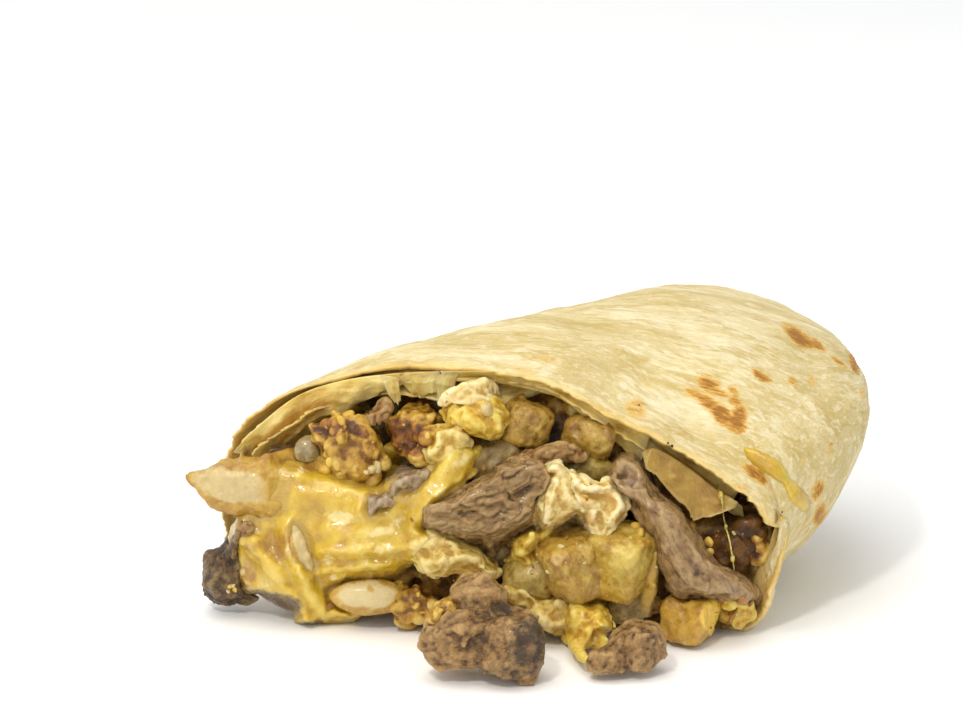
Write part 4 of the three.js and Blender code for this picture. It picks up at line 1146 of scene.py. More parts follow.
def crisp_relief(points, seed, grain):
    """Crisp edges and flakes of crust."""
    bent = warped(points, 2.5, 1.4, seed)
    edges = 0.22 * ridges(bent / 1.9, seed + 2)
    return 0.5 * layers(points, 3.5, 2, seed + 1) + edges + 0.2 * layers(points, 0.9, 3, seed + 3)


def curd_relief(points, seed, grain):
    """Soft torn curds."""
    bent = warped(points, 3.0, 1.8, seed)
    torn = 0.26 * ridges(bent / 2.4, seed + 3)
    return 0.5 * layers(points, 3.0, 2, seed + 2) + torn + 0.12 * layers(points, 0.9, 2, seed + 4)


def sheet_relief(points, seed, grain):
    """A folded skin of egg: few creases, smooth between them."""
    bent = warped(points, 4.0, 2.0, seed)
    fine = 0.14 * ridges(bent / 1.5, seed + 2) + 0.12 * layers(points, 0.9, 3, seed + 4, 0.7)
    return 0.28 * ridges(bent / 3.4, seed + 1) + fine + 0.2 * layers(points, 3.0, 2, seed + 3)


def cheese_relief(points, seed, grain):
    """Slow flow with faint ridges along the drip."""
    return 0.45 * layers(points, 6.0, 2, seed + 1) + 0.14 * layers(points, 2.0, 2, seed + 2)


def mash_relief(points, seed, grain):
    """Packed crumbs."""
    bent = warped(points, 3.0, 1.6, seed)
    return 0.6 * layers(points, 4.0, 2, seed + 3) + 0.28 * layers(bent, 1.4, 3, seed + 4)


def smooth_relief(points, seed, grain):
    """Nearly smooth, with soft dents."""
    return 0.25 * layers(points, 3.0, 2, seed + 1)


def marked(points, outward, marks):
    """How far each point is covered by marks given in the view, on the side that shows there."""
    seen = view_place(points)
    seen = seen + (warped(points, 2.5, 0.9, 5) - points)[:, [0, 2]] * 5.0
    shown = smoothstep(outward @ CAMERA_BACK, -0.2, 0.1)
    total = np.zeros(len(points))
    for mark in marks:
        total = np.maximum(total, Spot(*mark).cover(seen) * shown)
    return total


def dressed(name, solids, relief, material, seed, grain=(1, 0, 0), fineness=0.42, soften=4, forms=(),
            own=False, crumbs=None, marks=None):
    """A piece grown over its solids: one skin, softened, strewn with crumbs and with its relief raised.

    own leaves out the solids' own skin where forms take their place; crumbs is how many there are
    for each square millimetre, their least and greatest radius and how square they are; marks
    are spots under a name.
    """
    grain = np.asarray(grain, float)
    grain = grain / np.linalg.norm(grain)
    parts = ([] if own else [solid_mesh(node) for node in solids]) + list(forms)
    points, quads = one_skin(parts, 0.55 if crumbs else fineness)
    points = softened(points, quads, soften)
    if crumbs:
        share, small, large, squareness = crumbs
        points = points - facing(points, quads) * small * 0.7
        strewn = scattered(points, quads, share, small, large, squareness, seed)
        points, quads = one_skin([(points, quads), *strewn], fineness)
        points = softened(points, quads, 2, 0.4)
    outward = facing(points, quads)
    raised = above_table(points + outward * relief(points, seed, grain)[:, None])
    outward = facing(raised, quads)
    # How far each corner stands out from its softened neighbours; the finishes paint shade into the hollows
    # and light onto the crests from this height.
    bulge = ((raised - softened(raised, quads, 14)) * outward).sum(1)
    low, high = np.percentile(bulge, [4, 96])
    side = np.cross(grain, (0.3, 0.5, 0.8))
    side /= np.linalg.norm(side)
    other = np.cross(grain, side)
    values = {
        "height": np.clip((bulge - low) / (high - low), 0, 1),
        "grain": np.stack([points @ side, points @ other, points @ grain], 1) / METRE,
    }
    for key, spots in (marks or {}).items():
        values[key] = marked(raised, outward, spots)
    return piece(name, raised, quads, material, values, solids)


# ---- Settings ----


def colour_setting(name, description, default):
    return bpy.props.FloatVectorProperty(
        name=name, description=description, subtype="COLOR_GAMMA", size=3, min=0, max=1,
        default=tuple(c / 255 for c in default),
    )


def power_setting(name, description, default):
    return bpy.props.FloatProperty(name=name, description=description, default=default, min=0, unit="POWER")


class WrapSettings(bpy.types.PropertyGroup):
    rounds: bpy.props.IntProperty(
        name="Rounds", description="Steps round the wrap", default=330, min=60, max=400
    )
    flour: colour_setting("Flour", "Main colour of the sheet", (213, 195, 142))
    pale: colour_setting("Pale", "Lightest patches of the sheet", (224, 212, 168))
    shade: colour_setting("Shade", "Thicker patches of the sheet", (197, 177, 118))
    flake: colour_setting("Flake", "Dry flakes", (238, 229, 198))
    damp: colour_setting("Damp", "Damp patches", (190, 166, 96))
    soaked: colour_setting("Soaked", "Sheet soaked with fat", (184, 146, 52))
    inner: colour_setting("Inner", "Inner turns of the sheet", (240, 202, 110))
    lining: colour_setting("Lining", "Palest of the inner turns", (250, 222, 142))
    golden: colour_setting("Golden", "Rim of a toasted spot", (220, 180, 92))
    toast: colour_setting("Toast", "Toasted spot", (192, 140, 52))
    char: colour_setting("Char", "Darkest part of a spot", (146, 96, 34))


class FillingSettings(bpy.types.PropertyGroup):
    cheese: colour_setting("Cheese", "Melted cheese", (208, 174, 44))
    cheese_deep: colour_setting("Thick cheese", "Cheese where it is thick", (188, 148, 34))
    cheese_pale: colour_setting("Pale cheese", "Cheese where it is drawn out", (218, 192, 84))
    cheese_film: colour_setting("Cheese film", "Thin clear film of cheese", (188, 154, 64))
    cheese_brown: colour_setting("Cheese crumb", "Browned crumbs in the cheese", (160, 110, 46))


class StageSettings(bpy.types.PropertyGroup):
    floor: colour_setting("Floor", "Colour of the floor", (247, 250, 255))
    lamp_colour: colour_setting("Lamp colour", "Colour of the lamps", (255, 249, 238))
    key_power: power_setting("Key light", "Power of the overhead light", 5.2)
    fill_power: power_setting("Fill light", "Power of the front light", 1.0)
    glint_power: power_setting("Glint light", "Power of the small light", 2.4)
    sky: bpy.props.FloatProperty(
        name="Sky", description="Strength of the light from all round", default=0.72, min=0
    )


# ---- Operators ----


class BURRITO_OT_wrap(bpy.types.Operator):
    """Rolls the tortilla: the outer sheet with its folded end and the turns inside the mouth"""

    bl_idname = "burrito.wrap"
    bl_label = "Tortilla"

    def execute(self, context):
        look = context.scene.burrito_wrap
        baked = tortilla_finish(look)
        damp = inner_sheet_finish(look)
        points, quads, values = outer_sheet(look)
        piece("tortilla_outer_sheet", points, quads, baked, values, ("tortilla_wrap",))
        for number, turn in enumerate(INNER_TURNS, 1):
            points, quads, values = inner_sheet(turn)
            piece(f"tortilla_inner_turn_{number}", points, quads, damp, values)
        for name, shape in FLAPS.items():
            points, quads, values = flap(**shape)
            piece(name, points, quads, damp, values)
        return {"FINISHED"}


# Crumbs everywhere: how many on each square millimetre, least and greatest radius, squareness.
FILLING_CRUMBS = (0.12, 0.5, 1.7, 4)
FILLING_FINENESS = 0.75
FILLING_MELT = 1.7
FILLING_SEED = 300
# Nodes that the mixed filling isn't drawn up round.
LOOSE_NODES = (
    "filling", "tortilla_wrap", "melted_cheese", "steak_strip", "steak_slab", "steak_chunk_front",
    "steak_chunk_right", "steak_bottom_left", "steak_nub_left", "steak_lower_cheese", "steak_upper_cheese",
    "potato_sliver_left", "potato_pale_front", "fry_wedge_left",
)
# Marks here and below are spots: view position, half length, half width, lean and strength.
FILLING_MARKS = {
    # Dark marks are painted shade in the gaps and deep in the mouth.
    "dark": [
        (412, 428, 60, 34, 0, 1.2), (455, 395, 60, 14, 0, 1.0), (545, 432, 34, 20, 20, 1.1),
        (735, 545, 46, 46, 30, 1.2), (634, 508, 24, 16, 60, 1.3), (640, 470, 30, 20, 40, 0.9),
        (290, 455, 40, 12, -20, 1.0), (500, 566, 22, 16, 0, 0.7),
    ],
    "yellow": [
        (430, 500, 50, 50, 0, 1.0), (330, 590, 60, 40, 20, 1.0), (470, 470, 40, 20, -30, 0.8),
        (580, 610, 60, 20, 15, 0.8), (350, 440, 60, 40, 0, 0.7),
    ],
    "cream": [
        (470, 545, 46, 16, 20, 1.0), (440, 440, 18, 34, 0, 1.0), (560, 600, 40, 12, 10, 0.5),
        (480, 400, 40, 10, 0, 0.8),
    ],
}


class BURRITO_OT_filling(bpy.types.Operator):
    """Builds the mixed filling that the pieces lie in, drawn up round each of them"""

    bl_idname = "burrito.filling"
    bl_label = "Filling"

    def execute(self, context):
        held = [solid_mesh(node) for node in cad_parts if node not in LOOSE_NODES]
        points, quads = one_skin([solid_mesh("filling"), *held], FILLING_FINENESS)
        points = softened(points, quads, 16)
        points = points - facing(points, quads) * FILLING_MELT
        dressed("mixed_filling", ["filling"], mash_relief, mash_finish(), FILLING_SEED,
                fineness=FILLING_FINENESS, soften=1, forms=[(points, quads)], crumbs=FILLING_CRUMBS,
                marks=FILLING_MARKS)
        return {"FINISHED"}


# Outline of the melted cheese in the view.
CHEESE_EDGE = [
    (252, 516), (268, 510), (275, 497), (278, 484), (284, 469), (302, 459), (330, 460), (348, 472),
    (362, 478), (376, 472), (382, 460), (390, 448), (400, 438), (407, 441), (404, 452), (397, 464),
    (402, 472), (426, 474), (436, 462), (444, 446), (455, 444), (474, 448), (484, 458), (472, 474),
    (454, 488), (437, 500), (426, 514), (420, 530), (434, 540), (430, 556), (405, 566), (394, 578),
    (350, 580), (330, 590), (332, 604), (354, 612), (352, 621), (302, 623), (300, 613), (290, 605),
    (276, 598), (262, 592), (250, 592), (240, 590), (236, 578), (235, 556), (233, 535), (238, 522),
]
# Thick streams: view positions, half width in the view and height in millimetres.
CHEESE_STREAMS = [
    ([(304, 562), (322, 553), (360, 551), (400, 547), (424, 541)], 7, 2.2),
    ([(306, 578), (330, 568), (365, 567), (392, 563)], 4, 1.7),
    ([(252, 542), (266, 564), (286, 592), (308, 618)], 10, 2.6),
    ([(404, 545), (416, 522), (426, 502), (440, 482), (452, 462)], 12, 1.2),
    ([(450, 474), (464, 464), (476, 454)], 6, 1.0),
    ([(302, 566), (308, 588), (322, 614)], 6, 2.1),
    ([(300, 618), (325, 618), (352, 615)], 6, 1.0),
    ([(384, 472), (388, 456), (398, 446), (404, 438)], 4, 0.9),
    ([(272, 478), (300, 474), (335, 480), (372, 490)], 10, 0.5),
    ([(262, 500), (300, 498), (350, 504), (392, 516)], 10, 0.7),
    ([(320, 528), (350, 534), (384, 532)], 8, 0.9),
    ([(345, 510), (352, 520), (340, 536), (318, 548)], 6, 0.6),
    ([(388, 512), (392, 526), (386, 540)], 5, 0.6),
    ([(250, 520), (280, 522), (296, 512)], 8, 0.6),
]
# Where pieces stand out of the cheese: view position, half length, half width and lean.
CHEESE_THIN = [
    (303, 549, 30, 12, 68, 1.0), (247, 526, 13, 13, 0, 1.0), (407, 482, 26, 15, -32, 1.0),
    (378, 502, 19, 14, -45, 1.0),
]
CHEESE_FILM = 1.0
CHEESE_SOFT = [(276, 490, 60, 36, 60), (350, 476, 60, 16, 8)]
CHEESE_STEP = 1.3
CHEESE_SEED = 310
# Stain marks paint browned crumbs and, along the lower edge, painted shade; shade marks paint the shade under
# the cheese; cream marks paint pale patches that are mostly painted highlights.
CHEESE_MARKS = {
    "stain": [
        (262, 600, 32, 8, 10, 1.0), (246, 582, 12, 22, 0, 0.75), (262, 545, 18, 20, 0, 0.5),
        (250, 566, 8, 16, -20, 0.55), (285, 548, 16, 18, 0, 0.7), (310, 620, 20, 4, 0, 0.6),
        (330, 470, 50, 5, 8, 0.7), (350, 600, 10, 12, 0, 0.5), (262, 512, 24, 7, 30, 0.6),
        (250, 545, 10, 16, 0, 0.6), (390, 498, 20, 12, -40, 0.5),
    ],
    "shade": [(268, 601, 36, 9, 10, 1.4), (240, 590, 8, 12, 0, 0.9), (310, 624, 20, 4, 0, 0.8)],
    "cream": [
        (462, 462, 12, 6, -40, 0.8), (440, 492, 8, 5, -40, 0.7), (430, 470, 5, 8, 0, 0.6),
        (341, 516, 17, 7, 8, 1.3), (382, 533, 15, 6, -10, 1.2), (385, 549, 11, 6, 0, 0.9),
        (328, 560, 8, 6, 0, 0.8), (420, 545, 12, 12, 0, 0.9), (302, 470, 4, 4, 0, 0.9),
        (335, 578, 8, 5, 0, 0.8), (288, 552, 6, 8, 0, 0.7), (250, 590, 9, 6, 0, 0.8),
        (243, 574, 6, 6, 0, 0.6), (264, 586, 6, 5, 0, 0.5), (400, 520, 10, 5, -30, 0.6),
    ],
}


def away_from(path, x, y, closed=False):
    """Distance in the view from positions to a line of positions."""
    path = np.asarray(path, float)
    ends = np.roll(path, -1, axis=0) if closed else path[1:]
    nearest = np.full(x.shape, 1e9)
    for (ax, ay), (bx, by) in zip(path, ends):
        long = max((bx - ax) ** 2 + (by - ay) ** 2, 1e-9)
        t = np.clip(((x - ax) * (bx - ax) + (y - ay) * (by - ay)) / long, 0, 1)
        nearest = np.minimum(nearest, np.hypot(x - ax - t * (bx - ax), y - ay - t * (by - ay)))
    return nearest


def inside_of(path, x, y):
    """Whether positions lie inside a closed line."""
    path = np.asarray(path, float)
    odd = np.zeros(x.shape, bool)
    for (ax, ay), (bx, by) in zip(path, np.roll(path, -1, axis=0)):
        cross = (ay > y) != (by > y)
        edge = ax + (y - ay) / (by - ay if by != ay else 1e-9) * (bx - ax)
        odd ^= cross & (x < edge)
    return odd


def blurred(grid, times):
    """A grid with each value made the mean of its four neighbours."""
    for _ in range(times):
        padded = np.pad(grid, 1, mode="edge")
        grid = (padded[:-2, 1:-1] + padded[2:, 1:-1] + padded[1:-1, :-2] + padded[1:-1, 2:]) / 4
    return grid


# Steps along an outline and along a stream, room left round an outline, and rounds of settling.
EDGE_STEPS = 220
STREAM_STEPS = 40
EDGE_MARGIN = 6
SETTLE_ROUNDS = 60
# In view positions: how far in from the outline a film is full where its edge fades out gently,
# and how far outside the outline it starts.
GENTLE_CRISP = 24
FALL_START = -3
# How much thinner than nothing a film is at a thin spot, so that it goes under what lies there.
THIN_SINK = 1.2


def seen_away(x, y):
    """Distance to what is seen at each view position of a grid, or nan where only table shows."""
    away = np.full(x.shape, np.nan)
    for spot in np.ndindex(x.shape):
        found = Sight.hit(x[spot], y[spot])
        if found is not None:
            away[spot] = found[2]
    return away


def trimmed(points, quads, keep):
    """A closed slab cut down to the columns kept, with a new wall round them."""
    size = len(keep)
    used = keep[quads % size].all(1)
    face = quads[used & (quads < size).all(1)]
    rear = quads[used & (quads >= size).all(1)]
    edges = np.concatenate([np.stack([face[:, k], face[:, (k + 1) % 4]], 1) for k in range(4)])
    codes = edges[:, 0] * (2 * size) + edges[:, 1]
    other = edges[:, 1] * (2 * size) + edges[:, 0]
    rim = edges[~np.isin(codes, other)]
    wall = np.stack([rim[:, 1], rim[:, 0], rim[:, 0] + size, rim[:, 1] + size], 1)
    quads = outward_quads(points, np.vstack([face, rear, wall]))
    shown = np.unique(quads)
    place = np.zeros(len(points), int)
    place[shown] = np.arange(len(shown))
    return points[shown], place[quads]


def draped(corners, film, streams=(), thin=(), soft=(), back=3.0, step=1.3, wander=1.0, crisp=7.0,
           tuck=1.6, gap=8.0, reach=14.0, near=99.0):
    """A skin hanging over what lies in the view inside an outline, thicker along its streams.

    film is its thickness, crisp how far in from the edge it is full, tuck how far the edge turns
    in, gap how deep it hangs over nothing, reach how far back and near how far forward it
    follows what it lies on; thin and soft are spots where it is thinner and where its edge
    fades out gently.
    """
    edge = flat_curve(corners + corners[:1], EDGE_STEPS)
    low, high = edge.min(0) - EDGE_MARGIN, edge.max(0) + EDGE_MARGIN
    x, y = np.meshgrid(np.arange(low[0], high[0], step), np.arange(low[1], high[1], step))
    away = seen_away(x, y)
    typical = np.nanmedian(away)
    solid = np.where(np.isnan(away) | (away > typical + reach), typical + gap, away)
    solid = np.where(solid < typical - near, typical, solid)
    front = solid
    for _ in range(SETTLE_ROUNDS):
        front = np.minimum(solid, blurred(front, 1))
    front = blurred(front, 3)
    seen = np.stack([x.ravel(), y.ravel()], 1)
    flat = np.column_stack([seen, 0 * x.ravel()]) / STEPS_PER_MM
    shift = wander * STEPS_PER_MM * (warped(flat, 2.2, 1.0, 91) + warped(flat, 0.8, 0.5, 95) - 2 * flat)
    bent_x, bent_y = x + shift[:, 0].reshape(x.shape), y + shift[:, 1].reshape(x.shape)
    depth = away_from(edge, bent_x, bent_y, closed=True) * np.where(inside_of(edge, bent_x, bent_y), 1, -1)
    thick = np.full(x.shape, film)
    for path, half, height in streams:
        aside = away_from(flat_curve(path, STREAM_STEPS), bent_x, bent_y)
        thick = thick + np.maximum(0, film + height * np.exp(-((aside / half) ** 2)) - thick)
    for spot in thin:
        cover = Spot(*spot).cover(seen).reshape(x.shape)
        thick = thick * (1 - cover) - THIN_SINK * cover
    thick = blurred(thick, 2)
    gentle = np.zeros(x.shape)
    for spot in soft:
        gentle = np.maximum(gentle, Spot(*spot, 1.0).cover(seen).reshape(x.shape))
    fall = smoothstep(depth, FALL_START, lerp(crisp, GENTLE_CRISP, gentle))
    front = front - thick * fall + lerp(tuck, 0.6, gentle) * (1 - fall)
    lines = np.stack([sight_line(a, b) for a, b in zip(x.ravel(), y.ravel())]).reshape(*x.shape, 3)
    sides = [(CAMERA_PLACE + lines * (front + deep)[..., None]).reshape(-1, 3) for deep in (0, back)]
    skin = trimmed(np.concatenate(sides), slab_quads(*x.shape), (depth > FALL_START - 1).ravel())
    return skin, (x, y, thick * fall)


def shrunk(node, inset, times=6):
    """A solid's skin drawn in, to stand behind what is laid over it."""
    points, quads = one_skin([solid_mesh(node)], 0.6)
    points = softened(points, quads, times)
    outward = facing(points, quads)
    tree = BVHTree.FromPolygons(points.tolist(), quads.tolist())
    far = 3 * inset
    room = [tree.ray_cast(Vector(p - 0.05 * n), Vector(-n), far)[3] or far for p, n in zip(points, outward)]
    return points - outward * np.minimum(inset, 0.3 * np.array(room))[:, None], quads


class BURRITO_OT_cheese(bpy.types.Operator):
    """Pours the melted cheese over the left of the filling"""

    bl_idname = "burrito.cheese"
    bl_label = "Melted cheese"

    def execute(self, context):
        look = context.scene.burrito_filling
        film, (x, y, thick) = draped(CHEESE_EDGE, CHEESE_FILM, CHEESE_STREAMS, CHEESE_THIN, CHEESE_SOFT,
                                     step=CHEESE_STEP)
        made = dressed("cheese_sheet", ["melted_cheese"], cheese_relief, cheese_finish(look),
                       CHEESE_SEED, fineness=0.4,
                       soften=3, own=True, forms=[shrunk("melted_cheese", 0.7), film], marks=CHEESE_MARKS)
        points, _ = read_mesh(made.data)
        seen = view_place(points * METRE)
        steps = np.round((seen - [x[0, 0], y[0, 0]]) / CHEESE_STEP).astype(int)
        column, row = np.clip(steps, 0, [x.shape[1] - 1, x.shape[0] - 1]).T
        numbers = 1 - smoothstep(thick[row, column], 0.5, 1.5)
        field = made.data.attributes.new("film", "FLOAT", "POINT")
        field.data.foreach_set("value", numbers.astype(np.float32))
        return {"FINISHED"}


# Sweeps laid over the solids: view positions, width and depth.
STEAK_FORMS = {
    "steak_tongue": [([(530, 462), (548, 455), (566, 451), (582, 453)], [4, 4.5, 3.6, 2.6], [3, 3, 2.6, 2])],
    "steak_curl_top": [
        (
            [(379, 400), (386, 404), (384, 414), (372, 420), (362, 424)],
            [3, 3.4, 3, 3, 2.6],
            [2.4, 2.6, 2.4, 2],
        ),
    ],
}
# Flat pieces: outline, thickness, streams, thin spots and how crisp the edge is.
STEAK_SHEETS = {
    "steak_slab": (
        [
            (419, 516), (420, 505), (435, 502), (447, 499), (458, 496), (475, 484), (495, 475), (498, 464),
            (510, 460), (523, 458), (541, 460), (552, 472), (550, 490), (538, 503), (532, 521), (520, 530),
            (510, 536), (497, 544), (493, 554), (489, 555), (485, 545), (470, 541), (450, 537), (430, 531),
            (420, 524),
        ],
        2.6,
        [
            ([(424, 520), (450, 526), (480, 532), (508, 524), (528, 510)], 7, 1.0),
            ([(505, 466), (535, 466)], 7, 1.4),
            ([(428, 510), (460, 503), (490, 484)], 6, 0.7),
        ],
        [(470, 514, 18, 6, 20, 0.25), (520, 492, 16, 5, -30, 0.25)],
        4.5,
    ),
    "steak_strip": (
        [
            (611, 468), (617, 460), (625, 457), (637, 460), (644, 467), (651, 490), (660, 497), (672, 504),
            (685, 520), (698, 541), (711, 559), (729, 569), (742, 580), (757, 592), (752, 600), (742, 606),
            (724, 597), (706, 596), (685, 596), (672, 590), (661, 572), (656, 543), (646, 523), (637, 504),
            (622, 495), (612, 483),
        ],
        2.8,
        [
            ([(619, 466), (632, 462), (642, 474)], 6, 1.2),
            ([(618, 488), (634, 490), (648, 506)], 5, 1.2),
            ([(664, 520), (676, 556), (690, 582), (716, 590), (745, 598)], 10, 1.4),
        ],
        [(621, 477, 6, 4, 10, 0.45)],
        5.0,
    ),
    "steak_upper_cheese": (
        [
            (388, 496), (389, 482), (398, 474), (410, 468), (424, 467), (429, 474), (424, 486), (414, 491),
            (402, 490), (396, 498),
        ],
        0.9,
        [([(400, 482), (412, 476), (422, 474)], 5, 1.2)],
        [],
        5.0,
    ),
    "steak_lower_cheese": (
        [
            (365, 508), (366, 492), (376, 490), (388, 494), (396, 500), (392, 508), (380, 508), (373, 518),
            (368, 516),
        ],
        0.7,
        [([(371, 498), (384, 500)], 4, 1.0)],
        [],
        5.0,
    ),
    "steak_bottom_left": (
        [
            (226, 542), (233, 530), (240, 528), (241, 548), (243, 566), (246, 584), (250, 596), (240, 603),
            (226, 604), (215, 600), (206, 592), (202, 583), (208, 572), (215, 560),
        ],
        1.6,
        [([(236, 534), (230, 552), (222, 570), (210, 586)], 6, 1.2), ([(226, 588), (238, 592)], 6, 1.2)],
        [],
        5.0,
    ),
}
# Node, relief, direction of the fibres, fineness of the mesh, finish and crumbs.
STEAK = [
    ("steak_chunk_front", chunk_relief, (1, 0, 0), 0.38, "chunk", (0.03, 0.6, 1.5, 2.6)),
    ("steak_chunk_right", chunk_relief, (1, 0, 0), 0.38, "chunk", (0.03, 0.6, 1.5, 2.6)),
    ("steak_strip", meat_relief, (0.62, -0.2, -0.76), 0.38, "juicy", None),
    ("steak_tongue", steak_relief, (1, 0, 0), 0.34, "pink", None),
    ("steak_slab", steak_relief, (0.93, 0.05, 0.3), 0.32, "brown", None),
    ("steak_nub_left", chunk_relief, (0.5, 0, 0.8), 0.34, "chunk", None),
    ("steak_upper_cheese", meat_relief, (0.2, 0, 0.97), 0.34, "wet", None),
    ("steak_lower_cheese", meat_relief, (0.2, 0, 0.97), 0.34, "wet", None),
    ("steak_dark_left", steak_relief, (1, 0, 0), 0.4, "dark", None),
    ("steak_bottom_left", chunk_relief, (0, 0, 1), 0.36, "dark", (0.08, 0.4, 1.1, 3)),
    ("steak_curl_top", steak_relief, (0, 0, 1), 0.34, "pink", None),
]
STEAK_INSET = {
    "steak_slab": 1.0, "steak_strip": 1.0, "steak_upper_cheese": 1.2, "steak_lower_cheese": 1.2,
    "steak_bottom_left": 0.6,
}
STEAK_SEED = 400
STEAK_DRAPE = dict(step=1.1, wander=0.5, gap=3.0)
# How far behind the front of a flat piece its rear lies, beyond its thickness.
STEAK_DEPTH = 2.4
# Colours in the creases, between and on the crests, and how wet it is; the crease colour is painted shade and
# the crest colour partly painted light.
STEAK_FINISHES = {
    "brown": ("seared_steak", (90, 62, 31), (162, 126, 73), (200, 166, 110), 0.35),
    "chunk": ("minced_steak", (92, 64, 32), (168, 128, 74), (204, 164, 104), 0.18),
    "juicy": ("juicy_steak", (90, 60, 30), (160, 122, 72), (200, 164, 110), 0.7),
    "pink": ("pink_steak", (112, 70, 30), (174, 130, 72), (208, 170, 108), 0.18),
    "wet": ("wet_steak", (100, 70, 44), (164, 132, 96), (212, 190, 152), 0.8),
    "dark": ("dark_steak", (44, 28, 12), (92, 66, 34), (156, 128, 80), 0.18),
}
# Darker lower right of the front chunk: partly its dark crust, partly painted shade.
CHUNK_SHADE = [
    (532, 645, 26, 40, 10, 0.9), (505, 670, 34, 16, 0, 0.7), (505, 610, 16, 14, 20, 0.6),
    (478, 648, 10, 20, 0, 0.3),
]


class BURRITO_OT_steak(bpy.types.Operator):
    """Cuts and sears the pieces of steak"""

    bl_idname = "burrito.steak"
    bl_label = "Steak"

    def execute(self, context):
        finishes = {kind: steak_finish(*given) for kind, given in STEAK_FINISHES.items()}
        for seed, (node, relief, grain, fineness, kind, crumbs) in enumerate(STEAK, STEAK_SEED):
            forms = [laid(*form, 0.62, corner=2.8, blunt=3.0) for form in STEAK_FORMS.get(node, [])]
            marks = {"shade": CHUNK_SHADE} if node == "steak_chunk_front" else None
            if node in STEAK_SHEETS:
                corners, film, streams, thin, crisp = STEAK_SHEETS[node]
                back = film + STEAK_DEPTH
                skin, _ = draped(corners, film, streams, thin, back=back, crisp=crisp, **STEAK_DRAPE)
                forms = [skin, shrunk(node, STEAK_INSET[node])]
            dressed(node + "_seared", [node], relief, finishes[kind], seed, grain, fineness,
                    forms=forms, soften=2, crumbs=crumbs, marks=marks, own=node in STEAK_SHEETS)
        return {"FINISHED"}


# Cut potato: node, finish, and cubes as view position, size, turn and squareness.
POTATO = [
    ("potato_big_right", "golden", [((622, 561), (11.5, 11.5, 12.5), (6, 12, -38), 7.0)]),
    ("potato_big_left", "deep", [((577, 566), (12.5, 10.5, 12.5), (-8, -10, 32), 6.0)]),
    ("potato_cube_right", "orange", [((690, 618), (10.5, 10.0, 9.0), (0, 3, -31), 9.0)]),
    (
        "potato_slab_right", "grey",
        [((630, 604), (8.5, 6.0, 7.5), (0, 10, 10), 3.0), ((649, 576), (4.2, 7.0, 13.5), (0, 4, 0), 4.0)],
    ),
    ("potato_smooth", "olive", [((529, 577), (12.5, 8.0, 9.5), (0, -12, 0), 2.8)]),
    ("potato_shaded", "grey", [((492, 461), (11.5, 7.0, 8.5), (0, -28, 10), 3.2)]),
    ("potato_top_middle", "deep", [((524, 424), (10.5, 8.0, 10.0), (0, 18, 25), 3.4)]),
    ("potato_top_right", "deep", [((588, 438), (11.5, 8.0, 9.0), (0, 14, -20), 3.4)]),
    ("potato_shadow_right", "olive", [((586, 470), (10.0, 7.0, 6.5), (0, 8, 0), 3.2)]),
    (
        "potato_inner_right", "brown",
        [((728, 552), (8.5, 6.0, 9.5), (0, 20, 0), 3.4), ((750, 535), (5.5, 5.0, 8.5), (0, -10, 0), 3)],
    ),
    ("fry_wedge_left", "skin", []),
    ("potato_sliver_left", "skin", []),
    ("potato_pale_front", "pale", [((371, 597), (17.5, 7.0, 8.4), (0, 2, 0), 1.75)]),
]
POTATO_SEED = 500
CUBE_STEPS = 34
POTATO_CRUMBS = (0.035, 0.3, 0.9, 4)
POTATO_SHRED_CRUMBS = (0.16, 0.4, 1.5, 4)
# The roll of skin along the top of the wedge: view positions, width and depth.
WEDGE_SKIN = ([(258, 468), (280, 463), (305, 461), (330, 468)], [4, 5, 5, 3], [3, 3, 3, 2])
# Colours: deep, middle, pale, fried crust and cut face; deep also paints the shade in the hollows.
POTATO_FINISHES = {
    "golden": (
        "golden_potato", (166, 126, 40), (196, 164, 68), (212, 188, 96), (160, 108, 34), (208, 184, 92)
    ),
    "deep": (
        "deep_fried_potato", (140, 98, 32), (182, 146, 62), (206, 178, 92), (132, 86, 28), (208, 182, 104)
    ),
    "orange": (
        "orange_potato", (170, 122, 30), (196, 152, 50), (214, 178, 76), (144, 92, 26), (240, 200, 76)
    ),
    "olive": (
        "olive_potato", (146, 118, 44), (180, 154, 72), (200, 178, 100), (138, 96, 34), (200, 178, 106)
    ),
    # grey is duller and darker; on potato_shaded that darkness is painted shade.
    "grey": (
        "boiled_potato", (122, 96, 46), (156, 130, 76), (184, 162, 112), (124, 88, 40), (190, 174, 130)
    ),
    "pale": (
        "pale_potato", (180, 136, 50), (198, 160, 72), (212, 182, 102), (170, 120, 40), (218, 202, 152)
    ),
    "skin": (
        "fry_potato", (162, 116, 34), (186, 146, 54), (204, 172, 78), (146, 96, 32), (208, 188, 134)
    ),
    # brown is browned potato deep in the mouth; its near-black is partly crust and partly painted shade.
    "brown": (
        "brown_potato", (54, 31, 4), (88, 54, 10), (122, 80, 22), (52, 30, 4), (120, 80, 26), 0.25
    ),
}
